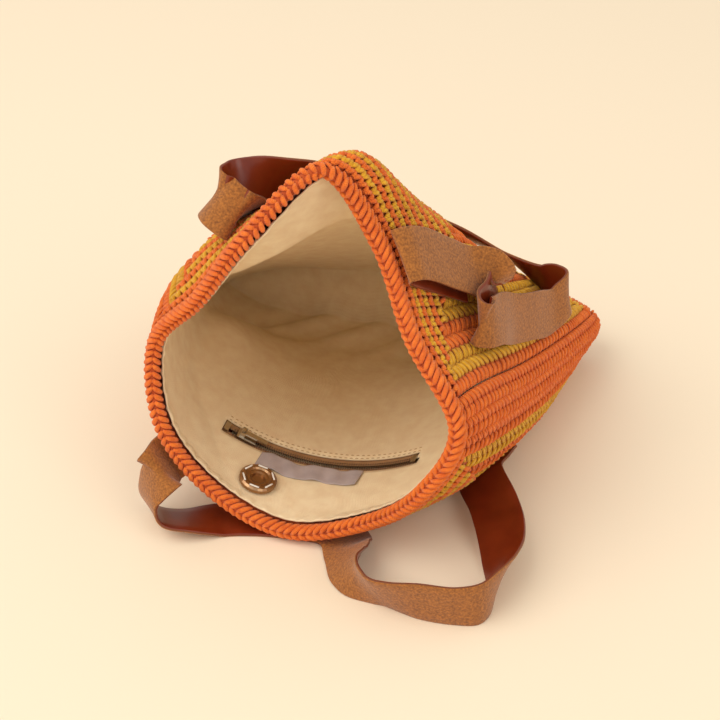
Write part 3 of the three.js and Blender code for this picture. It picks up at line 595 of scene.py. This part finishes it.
def rim():
    dense_s = np.linspace(0, STATIONS, 1201)
    reach = reach_along(surface(dense_s, 0.0))
    count = int(reach[-1] / RIM_PITCH)
    at = (np.arange(count) + 0.5) / count * reach[-1]
    groups = []
    for shape, fat in zip(RIM_LOOPS, RIM_FATNESS):
        legs = np.array(shape)
        along = np.mod(at[:, None] + legs[None, :, 0], reach[-1])
        centre, out, down = rim_frame(np.interp(along, reach, dense_s))
        place = centre + out * legs[None, :, 1, None] + down * legs[None, :, 2, None]
        ups = unit(out * legs[None, :, 1, None] - down * RIM_UPWARD)
        groups.append((place, ups, RIM_RADIUS * fat, RIM_SIDES))
    braid = tube_piece("rim_braid", groups, ORANGE)
    on_bag(braid, "crochet", "rim_edging")
    centre, out, down = rim_frame(np.linspace(0, STATIONS, 241)[:-1])
    core = np.stack([centre + out * (CORE_OUT * math.cos(angle))
                     + down * (CORE_DROP + CORE_DOWN * math.sin(angle))
                     for angle in 2 * np.pi * np.arange(CORE_SIDES) / CORE_SIDES], 1)
    verts = above_floor(core.reshape(-1, 3))
    n, m = core.shape[:2]
    faces = [(i * m + j, ((i + 1) % n) * m + j, ((i + 1) % n) * m + (j + 1) % m, i * m + (j + 1) % m)
             for i in range(n) for j in range(m)]
    # The core inside the braid takes the backing's darker orange, painted shade between the rim's loops.
    on_bag(make_mesh("rim_core", verts, faces, [SHADED_BACKING]), "crochet")


rim()


# Lining, as in part.mjs, with its sag, puckers and creases

ZIP_RADIUS = 105
ZIP_X = -6
ZIP_Z = 115.5
ZIP_Y = -36
ZIP_START = -28.5
ZIP_END = 27
ZIP_T = 0.27
SLIT_T = 5 / DEPTH
TAPE_TAIL = 3
LINING = 0.8
LINING_TOP = 3.2
LINING_COLS = 288
PEAK_S = 3
PEAK_TOP = 12
LINING_FOOT = 1 - (LINING + 2 * GAP + CROCHET / 2) / DEPTH
HELD_RIM_SIDE, HELD_POCKET_SIDE = 0.2, 0.5
HELD_BESIDE = 1.4
HELD_GAIN = 1.6
FLAP_SAG = 17
FLAP_EDGE = 0.27


def held_by_zip(s, t):
    """How firmly the zip holds the lining at s and t, from 0 to 1."""
    spread = np.where(t < ZIP_T, HELD_RIM_SIDE, HELD_POCKET_SIDE)
    along = np.maximum(0, 1 - ((t - ZIP_T) / spread) ** 2)
    beside = np.clip(np.minimum(s - HALF, STATIONS - s) / HELD_BESIDE, 0, 1)
    return np.where(s <= HALF, 0, np.minimum(1, along * HELD_GAIN) * ease(beside))


def smooth(x, low, high):
    return ease(np.clip((x - low) / (high - low), 0, 1))


def near_peak(s, width):
    return np.exp(-((s - PEAK_S) / width) ** 2)


def lining_top(s):
    """The t of the cloth's raw edge, set lower at the sharp peak of the mouth."""
    peak = near_peak(s, 0.6)
    return below_rim(s, LINING_TOP) * (1 - peak) + below_rim(s, PEAK_TOP) * peak


def lining_cloth(s, t):
    """How far the cloth stands in from the wall at s and t, in millimetres: puckers below the rim,
    then the creases of the right side and of the front.
    """
    from_rim = (t - lining_top(s)) * DEPTH
    pucker = 0.9 * np.sin(s * 33 + 1.3 * np.sin(s * 7)) + 0.5 * np.sin(s * 61 + 2)
    cloth = pucker * np.exp(-np.maximum(from_rim, 0) / 14) * smooth(from_rim, -1, 4)
    side = smooth(s, 4.3, 5.0) * (1 - smooth(s, 6.4, 7.0))
    cloth = cloth + side * 2.4 * np.sin(t * 34 + s * 6) * smooth(t, 0.1, 0.25)
    front = smooth(s, 7.0, 8.0) * (1 - smooth(s, 10.6, 11.4))
    cloth = cloth + front * 2.0 * np.sin(s * 8 + t * 22) * smooth(t, 0.34, 0.5)
    return np.maximum(cloth, -1.0)


def lining_point(s, t, extra=0.0, flat=False):
    """A point of the lining, or extra millimetres inside it. It is flat without its puckers and sag."""
    s, t = np.broadcast_arrays(np.asarray(s, float), np.asarray(t, float))
    held = held_by_zip(s, t)
    cloth = np.zeros(s.shape) if flat else lining_cloth(s, t)
    inward = extra + cloth * (1 - held)
    peak = (near_peak(s, 0.7) * (1 - smooth(t, 0.15, 0.3)))[..., None]
    normal = unit(surface_normal(s, t) * (1 - peak) + np.array([0, 0, 1.0]) * peak)
    point = surface(s, t) + normal * (LINING_LIFT - inward)[..., None]
    reach = np.clip((point[..., 0] - ZIP_X) / ZIP_RADIUS, -0.9, 0.9)
    arc = ZIP_Z - (ZIP_RADIUS - extra) * np.sqrt(1 - reach ** 2)
    point[..., 2] += held * np.maximum(0, arc - point[..., 2])
    point[..., 1] += held * (ZIP_Y + (t - ZIP_T) * DEPTH - point[..., 1])
    if not flat:
        flap = smooth(s, 0.3, 1.6) * (1 - smooth(s, 3.1, 4.6))
        edge = FLAP_EDGE + 0.02 * np.sin(s * 2.2)
        point[..., 2] -= FLAP_SAG * flap * smooth(t, 0.06, edge) * (1 - smooth(t, edge, edge + 0.16))
    return point


def zip_point(degrees, radius, y):
    """A point at an angle on the zip's arc, y millimetres from its line towards the pocket."""
    a = np.radians(np.asarray(degrees, float))
    x, z = ZIP_X + radius * np.sin(a), ZIP_Z - radius * np.cos(a)
    return np.stack(np.broadcast_arrays(x, ZIP_Y + y, z), -1)


def zip_length(tail=0.0):
    """The zip's length along its arc, with a tail in degrees at each end."""
    return math.radians(ZIP_END - ZIP_START + 2 * tail) * ZIP_RADIUS


def solid_from(name, points, faces, thick, materials):
    """A closed sheet from a surface that may have holes."""
    obj = make_mesh(name, points, faces, materials)
    work = bmesh.new()
    work.from_mesh(obj.data)
    bmesh.ops.delete(work, geom=[v for v in work.verts if not v.link_faces], context="VERTS")
    bmesh.ops.recalc_face_normals(work, faces=work.faces)
    bmesh.ops.solidify(work, geom=work.faces[:], thickness=thick * MM)
    work.to_mesh(obj.data)
    work.free()
    for polygon in obj.data.polygons:
        polygon.use_smooth = True
    return obj


STITCH_TAIL = 3
STITCH_PITCH = 3.0
STITCH_LINES = (6.0, 8.6)
STITCH_HALF = 1.1
STITCH_SHAPE = np.array([-1, -0.5, 0, 0.5, 1])
STITCH_LIFT = 0.25 + np.array([0.1, 0.5, 0.6, 0.5, 0.1])
STITCH_RADIUS = 0.32
THREAD_SIDES = 5


def lining():
    cols = LINING_COLS
    s = np.arange(cols) / cols * STATIONS
    t_lines = np.unique(np.concatenate([
        np.linspace(0, ZIP_T - SLIT_T, 26), [ZIP_T, ZIP_T + SLIT_T],
        np.linspace(ZIP_T + SLIT_T, LINING_FOOT, 34)]))
    down = t_lines[:, None]
    t = down + (lining_top(s) * (1 - down / t_lines[-1]) * np.exp(-(down / 0.09) ** 2))
    points = lining_point(np.broadcast_to(s, t.shape), t)
    rows = len(t_lines)
    faces = []
    low = zip_point(ZIP_START - TAPE_TAIL, ZIP_RADIUS, 0)[0]
    high = zip_point(ZIP_END + TAPE_TAIL, ZIP_RADIUS, 0)[0]
    for j in range(rows - 1):
        slit = t_lines[j] > ZIP_T - SLIT_T - TINY and t_lines[j + 1] < ZIP_T + SLIT_T + TINY
        for i in range(cols):
            m = (i + 1) % cols
            if slit and s[i] > HALF and low < points[j, i, 0] < high:
                continue
            faces.append((j * cols + i, j * cols + m, (j + 1) * cols + m, (j + 1) * cols + i))
    foot = (rows - 1) * cols
    for i in range(cols // 2):
        faces.append((foot + i, foot + i + 1, foot + (cols - i - 1) % cols, foot + (cols - i) % cols))
    cloth = solid_from("lining_cloth", points.reshape(-1, 3), faces, LINING, [LINEN])
    on_bag(cloth, "linen", "lining")
    count = int(zip_length(STITCH_TAIL) / STITCH_PITCH)
    share = (np.arange(count) + 0.5) / count
    middle = ZIP_START - STITCH_TAIL + share * (ZIP_END - ZIP_START + 2 * STITCH_TAIL)
    at = middle[:, None] + STITCH_SHAPE[None, :] * np.degrees(STITCH_HALF / ZIP_RADIUS)
    dashes = []
    for y in STITCH_LINES:
        centres = zip_point(at, ZIP_RADIUS - STITCH_LIFT[None, :], y)
        ups = unit((np.array([ZIP_X, 0, ZIP_Z]) - centres) * np.array([1, 0, 1]))
        dashes.append((centres, ups, STITCH_RADIUS, THREAD_SIDES))
    topstitch = on_bag(tube_piece("pocket_topstitch", dashes, THREAD), "linen")


lining()


# Pocket, zip tapes and teeth. The pocket's line runs from the rim-side tape under the slider, down to
# the fold and back to the pocket-side tape, as (y from the zip, depth below the lining).
TAPE = 0.6
TAPE_TOP = LINING / 2 + GAP
TAPE_MIDDLE = TAPE_TOP + TAPE / 2
TEETH = 2.4
SLIDER_PLAY = 0.5
SLIDER_PLATE = 1.1
UNDER = TAPE_TOP + TAPE + GAP
BELOW = TAPE_MIDDLE + TEETH / 2 + SLIDER_PLAY + SLIDER_PLATE + 0.45
POCKET_LINE = [
    (-11.5, UNDER + 0.1), (-8, UNDER + 0.6), (-4.6, BELOW), (8, BELOW + 0.1), (22, BELOW),
    (38, BELOW + 0.2), (56, BELOW), (59.3, (BELOW + UNDER) / 2), (56, UNDER + 0.35),
    (38, UNDER + 0.4), (22, UNDER + 0.35), (4.6, UNDER + 0.35),
]
POCKET_CLOTH = 0.3


def pocket_cloth():
    angles = np.linspace(ZIP_START, ZIP_END, 61)
    points = np.stack([zip_point(angles, ZIP_RADIUS + depth, y) for y, depth in POCKET_LINE], 0)
    faces = grid_faces(len(POCKET_LINE), len(angles))
    cloth = solid_from("pocket_cloth", points.reshape(-1, 3), faces, POCKET_CLOTH, [LINEN])
    on_bag(cloth, "linen", "pocket_pouch")


pocket_cloth()


TAPE_NEAR, TAPE_FAR = 1.4, 12
TAPE_CLOTH = 0.5
COIL_PITCH = 1.3
COIL_AT = 2.1
COIL_REACH = 1.0
COIL_HEIGHT = 0.9
COIL_LEAN = 0.3
COIL_RADIUS = 0.3
COIL_TURN = np.radians(np.array([0, 60, 120, 180, 240, 300, 350]))


def zip_tape(name, side):
    """One tape with its row of coil teeth; side is -1 towards the rim and 1 towards the pocket."""
    angles = np.linspace(ZIP_START - TAPE_TAIL, ZIP_END + TAPE_TAIL, 121)
    y = side * np.linspace(TAPE_NEAR, TAPE_FAR, 8)
    points = zip_point(angles[:, None], ZIP_RADIUS + TAPE_MIDDLE, y[None, :])
    faces = grid_faces(len(angles), len(y))
    tape = solid_from(name + "_cloth", points.reshape(-1, 3), faces, TAPE_CLOTH, [TAPE_WEAVE])
    on_bag(tape, "zip_tape", name)
    count = int(zip_length() / COIL_PITCH)
    at = ZIP_START + (np.arange(count) + 0.5) / count * (ZIP_END - ZIP_START)
    y_ring = side * (COIL_AT - COIL_REACH * np.cos(COIL_TURN))
    depth = TAPE_MIDDLE - COIL_HEIGHT * np.sin(COIL_TURN)
    lean = np.degrees(COIL_LEAN / ZIP_RADIUS) * COIL_TURN[None, :] / np.pi
    centres = zip_point(at[:, None] + lean, ZIP_RADIUS + depth[None, :], y_ring[None, :])
    along = zip_point(at + 5, ZIP_RADIUS, 0) - zip_point(at, ZIP_RADIUS, 0)
    ups = np.broadcast_to(along[:, None], centres.shape)
    coil = tube_piece(name + "_coil", [(centres, unit(ups), COIL_RADIUS, THREAD_SIDES)], COIL)
    on_bag(coil, "zip_tape")


zip_tape("zip_tape_rim_side", -1)
zip_tape("zip_tape_pocket_side", 1)


# Metal pieces keep their own solids

def metal(node, mat):
    """Shows a solid of the CAD as it is, in this material."""
    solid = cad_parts[node]
    solid.data.materials.clear()
    solid.data.materials.append(mat)


for node in ("zip_slider", "zip_pull", "zip_stop_left", "zip_stop_right"):
    metal(node, STEEL)
for node in ("snap_stud", "socket_washer", "stud_washer"):
    metal(node, NICKEL)
metal("snap_socket", BRONZE)


DASHES = 6
DASH_AT = 7.9
DASH_SINK = 0.45
DASH_RADIUS = 0.5
DASH_LINE = (-2.6, -1.3, 0, 1.3, 2.6)


def snap_marks():
    """Six bright dashes in a hexagon on the face of the socket."""
    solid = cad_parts["snap_socket"]
    place = np.array([solid.matrix_world @ v.co for v in solid.data.vertices]) / MM
    middle = place.mean(0)
    _, _, axes = np.linalg.svd(place - middle)
    normal = axes[2] * np.sign(axes[2][2])
    top = ((place - middle) @ normal).max()
    across = unit(np.cross(normal, np.array([0, 1.0, 0])))
    other = np.cross(normal, across)
    centres = []
    for k in range(DASHES):
        a = 2 * math.pi * (k + 0.5) / DASHES
        out = across * math.cos(a) + other * math.sin(a)
        along = -across * math.sin(a) + other * math.cos(a)
        base = middle + out * DASH_AT + normal * (top + DASH_RADIUS - DASH_SINK)
        centres.append([base + along * x for x in DASH_LINE])
    centres = np.array(centres)
    ups = np.broadcast_to(normal, centres.shape)
    dashes = tube_piece("snap_dashes", [(centres, ups, DASH_RADIUS, STITCH_SIDES)], DASH)
    on_bag(dashes, "snap_metal")


snap_marks()


# Blank woven label, wavy, sewn beside the zip

LABEL_WIDTH, LABEL_HEIGHT = 56, 12
LABEL_S, LABEL_T = 9.15, 0.22
LABEL_LIFT = 1.35
LABEL_RISE = 0.5
LABEL_CLOTH = 0.4


def label():
    u, v = np.meshgrid(np.linspace(-0.5, 0.5, 65), np.linspace(-0.5, 0.5, 15))
    s = LABEL_S - u * LABEL_WIDTH / STATION_LENGTH
    t = LABEL_T + v * LABEL_HEIGHT / DEPTH
    wave = 0.55 * np.sin(u * 17 + 0.6) * (0.4 + np.abs(v)) + 0.35 * np.sin(u * 31 + v * 3)
    points = lining_point(s, t, LABEL_LIFT, flat=True)
    points[..., 2] += wave + LABEL_RISE
    points[..., 1] += 0.7 * np.sin(u * 12)
    faces = grid_faces(*u.shape)
    piece = solid_from("label_cloth", points.reshape(-1, 3), faces, LABEL_CLOTH, [LABEL_WEAVE])
    on_bag(piece, "label", "label")


label()


# Straps

STRAP_WIDTH = 26
STRAP = 1.8
STRAP_STEPS = 330
RIDGE_TOP = CROCHET / 2 + 0.7
UPRIGHT = np.array([-0.1, 0.05, 1.0])
LOOP_TILT = (0.389, 0.602, 0.699)


# A station of a strap is its centre with the direction of its width.

def on_crochet(s, t, lift, turn=1):
    """Flat on the crochet, with its width round the bag."""
    wide = unit(surface(s + 0.05, t) - surface(s - 0.05, t)) * turn
    return surface(s, t) + surface_normal(s, t) * (RIDGE_TOP + GAP + STRAP / 2 + lift), wide


def across_crochet(s, t, lift):
    """Flat on the crochet, with its width up to the mouth."""
    return on_crochet(s, t, lift)[0], unit(surface(s, t - 0.02) - surface(s, t + 0.02))


def upright(s, t, lift):
    """On edge on the crochet."""
    wide = unit(UPRIGHT)
    return surface(s, t) + surface_normal(s, t) * (RIDGE_TOP + lift) + wide * STRAP_WIDTH / 2, wide


def free(x, y, z, wx, wy, wz):
    return np.array([x, y, z], float), unit(np.array([wx, wy, wz], float))


def curve(points, u, centripetal):
    """A Catmull-Rom curve through points, with u from 0 to 1."""
    points = np.asarray(points)
    last = len(points) - 1
    k = np.minimum(np.floor(u * last).astype(int), last - 1)
    x = (u * last - k)[:, None]
    padded = np.concatenate([[2 * points[0] - points[1]], points, [2 * points[-1] - points[-2]]])
    p0, p1, p2, p3 = (padded[k + j] for j in range(4))
    if centripetal:
        d0, d1, d2 = (np.maximum(np.sum((b - a) ** 2, 1), TINY)[:, None] ** 0.25
                      for a, b in ((p0, p1), (p1, p2), (p2, p3)))
        m1 = ((p1 - p0) / d0 - (p2 - p0) / (d0 + d1) + (p2 - p1) / d1) * d1
        m2 = ((p2 - p1) / d1 - (p3 - p1) / (d1 + d2) + (p3 - p2) / d2) * d1
    else:
        m1, m2 = (p2 - p0) / 2, (p3 - p1) / 2
    return (p1 + m1 * x + (3 * p2 - 3 * p1 - 2 * m1 - m2) * x ** 2
            + (2 * p1 - 2 * p2 + m1 + m2) * x ** 3)


FRONT_HANDLE = [
    on_crochet(10.6, 0.34, 0.6, -1), on_crochet(10.6, 0.2, 0.6, -1), on_crochet(10.6, 0.1, 1.6, -1),
    on_crochet(10.6, 0.045, 4.6, -1),
    free(-77, -92, 34, 0.55, -0.6, -0.55),
    free(-82, -94, 25, 0.6, -0.75, -0.1),
    free(-83, -95, 16, 0.6, -0.75, 0.25),
    free(-77, -95, 8, 0.4, -0.85, 0.3),
    free(-62, -90, 4, 0.24, -0.95, 0.25),
    free(-48, -82, STRAP / 2, 0.4, -0.9, 0),
    free(-30, -77, STRAP / 2, 0.1, -1, 0),
    free(-12, -75, STRAP / 2, 0, -1, 0),
    free(9, -75.5, STRAP / 2, -0.45, -0.9, 0),
    free(18, -83, 2, -0.88, -0.4, -0.06),
    free(22.5, -96, 5.8, -0.8, 0.02, -0.48),
    free(26.5, -110, 8, -0.65, 0.3, -0.65),
    free(32, -119, 9, -0.56, 0.45, -0.68),
    free(41, -125.5, 10.5, -0.45, 0.45, -0.75),
    free(52, -128.5, 12, -0.25, 0.35, -0.88),
    free(66, -129.5, 13, -0.05, 0.15, -0.98),
    free(84, -128.5, 13, 0, 0.1, -1),
    free(95, -124, 13, 0, 0, -1),
    free(100, -113, 13, -0.1, 0, -1),
    free(101, -99, 12.5, -0.45, 0.05, -0.88),
    free(99, -83, 12, -0.75, 0.1, -0.6),
    free(95, -67, 13, -0.9, 0.15, -0.35),
    free(88, -49, 13, -0.95, 0.2, -0.2),
    on_crochet(7.4, 0.29, 2.4), on_crochet(7.4, 0.34, 0.8), on_crochet(7.4, 0.39, 0.6),
]
BACK_HANDLE = [
    on_crochet(4.68, 0.29, 1.4, -1), on_crochet(4.54, 0.2, 1, -1), on_crochet(4.38, 0.1, 0.8, -1),
    on_crochet(4.27, 0.045, 2, -1), on_crochet(4.22, 0.012, 5, -1), on_crochet(4.26, 0.045, 8, -1),
    on_crochet(4.36, 0.11, 8.2, -1), on_crochet(4.55, 0.22, 8.4, -1), on_crochet(4.66, 0.28, 9.5, -1),
    free(74.5, -16, 129.5, -0.3, 0.1, 0.95),
    free(77, -17, 124, -0.2, 0.05, 0.98),
    free(77, -28, 122, -0.1, 0, 1),
    free(74.5, -38, 121, -0.1, 0, 1),
    free(76.5, -44, 120, -0.1, 0.05, 1),
    free(80.5, -40, 118, -0.15, 0.1, 1),
    free(84, -28, 113, -0.2, 0.15, 1),
    upright(5.45, 0.38, 1.5), upright(5.5, 0.48, 1.5), upright(5.54, 0.56, 2),
    free(108, 42, 88, -0.1, 0.05, 1),
    free(104, 48, 88, -0.2, 0, 1),
    free(94, 55, 86, -0.35, -0.25, 0.9),
    across_crochet(4.4, 0.72, 4), across_crochet(3.7, 0.66, 4), across_crochet(3.1, 0.56, 4),
    across_crochet(2.7, 0.4, 5), across_crochet(2.45, 0.28, 7),
    free(-38, -40, 178, *LOOP_TILT),
    free(-47, -47, 178, *LOOP_TILT),
    free(-51, -54, 178, *LOOP_TILT),
    free(-47, -60, 177, *LOOP_TILT),
    free(-39, -62, 173, *LOOP_TILT),
    on_crochet(1.78, 0.14, 2.2), on_crochet(1.72, 0.22, 1.3), on_crochet(1.7, 0.32, 1.3),
]


# The strap's section: places across its half width and, at each, half its thickness.
STRAP_ACROSS = np.array([-1, -0.99, -0.955, -0.6, -0.2, 0.2, 0.6, 0.955, 0.99, 1])
STRAP_HALF = np.array([0.35, 0.75] + 6 * [STRAP / 2] + [0.75, 0.35])


def strap(name, stations, turned=1.0):
    """A strap with one suede face. Past turned, from 0 to 1 along it, its two faces change sides."""
    steps = STRAP_STEPS
    u = np.linspace(0, 1, steps + 1)
    centre = curve([st[0] for st in stations], u, True)
    wide = curve([st[1] for st in stations], u, False)
    tangent = unit(np.gradient(centre, axis=0))
    wide = unit(wide - np.sum(wide * tangent, 1)[:, None] * tangent)
    thick = np.cross(tangent, wide)
    w, h = STRAP_ACROSS * STRAP_WIDTH / 2, STRAP_HALF
    section = np.concatenate([np.stack([w, h], 1), np.stack([w, -h], 1)[::-1]])
    rings = (centre[:, None] + wide[:, None] * section[None, :, 0, None]
             + thick[:, None] * section[None, :, 1, None])
    sunk = np.minimum(0, rings[..., 2].min(1) - FLOOR_CLEAR)
    rings[..., 2] -= sunk[:, None]
    m = len(section)
    half = m // 2
    suede, gloss, cut = range(3)
    faces, kinds = [], []
    for i in range(steps):
        for j in range(m):
            n = (j + 1) % m
            faces.append((i * m + j, i * m + n, (i + 1) * m + n, (i + 1) * m + j))
            upper = j < half - 1
            edge = j in (half - 1, m - 1)
            kinds.append(cut if edge else suede if (u[i] < turned) == upper else gloss)
    faces.append(tuple(range(m)))
    faces.append(tuple(steps * m + j for j in range(m))[::-1])
    kinds += [cut, cut]
    faces = [f[::-1] for f in faces]
    piece = make_mesh(name + "_leather", rings.reshape(-1, 3), faces, [SUEDE, GLOSS, EDGE], kinds)
    on_bag(piece, "leather", name)


# The front handle turns over in the run that the bag hides.
strap("front_handle", FRONT_HANDLE, turned=0.37)
strap("back_handle", BACK_HANDLE)


# Camera, floor and light

def look(azimuth, elevation, distance, target, lens):
    a, e = math.radians(azimuth), math.radians(elevation)
    back = Vector((math.sin(a) * math.cos(e), -math.cos(a) * math.cos(e), math.sin(e)))
    data = bpy.data.cameras.new("camera")
    data.lens = lens
    data.sensor_width = 36
    cam = bpy.data.objects.new("camera", data)
    cam.location = Vector(target) + back * distance
    cam.rotation_euler = back.to_track_quat("Z", "Y").to_euler()
    bpy.context.scene.collection.objects.link(cam)
    bpy.context.scene.camera = cam


look(azimuth=14, elevation=35, distance=0.830, target=(0.010, -0.020, 0.070), lens=80)

FLOOR = plain("floor", linear(250, 233, 206), 0.9)
FLOOR_HALF = 4000
corners = [(x * FLOOR_HALF, y * FLOOR_HALF, 0) for x, y in ((-1, -1), (1, -1), (1, 1), (-1, 1))]
floor = make_mesh("floor", corners, [(0, 1, 2, 3)], [FLOOR], smooth=False)


LIT = (0, 0, 0.05)


def area_light(name, place, size, power, color):
    data = bpy.data.lights.new(name, "AREA")
    data.shape = "DISK"
    data.size = size
    data.energy = power
    data.color = color
    lamp = bpy.data.objects.new(name, data)
    lamp.location = place
    lamp.rotation_euler = (Vector(place) - Vector(LIT)).to_track_quat("Z", "Y").to_euler()
    bpy.context.scene.collection.objects.link(lamp)


area_light("key", (-1.1, -1.0, 1.9), size=2.2, power=29, color=(1.0, 0.97, 0.92))
area_light("fill", (1.6, -1.2, 1.6), size=1.6, power=10, color=(1.0, 0.97, 0.93))

world = bpy.data.worlds.new("world")
world.use_nodes = True
background = world.node_tree.nodes["Background"]
background.inputs["Color"].default_value = (1.0, 0.95, 0.88, 1)
background.inputs["Strength"].default_value = 0.72
bpy.context.scene.world = world
bpy.context.scene.view_settings.view_transform = "Standard"
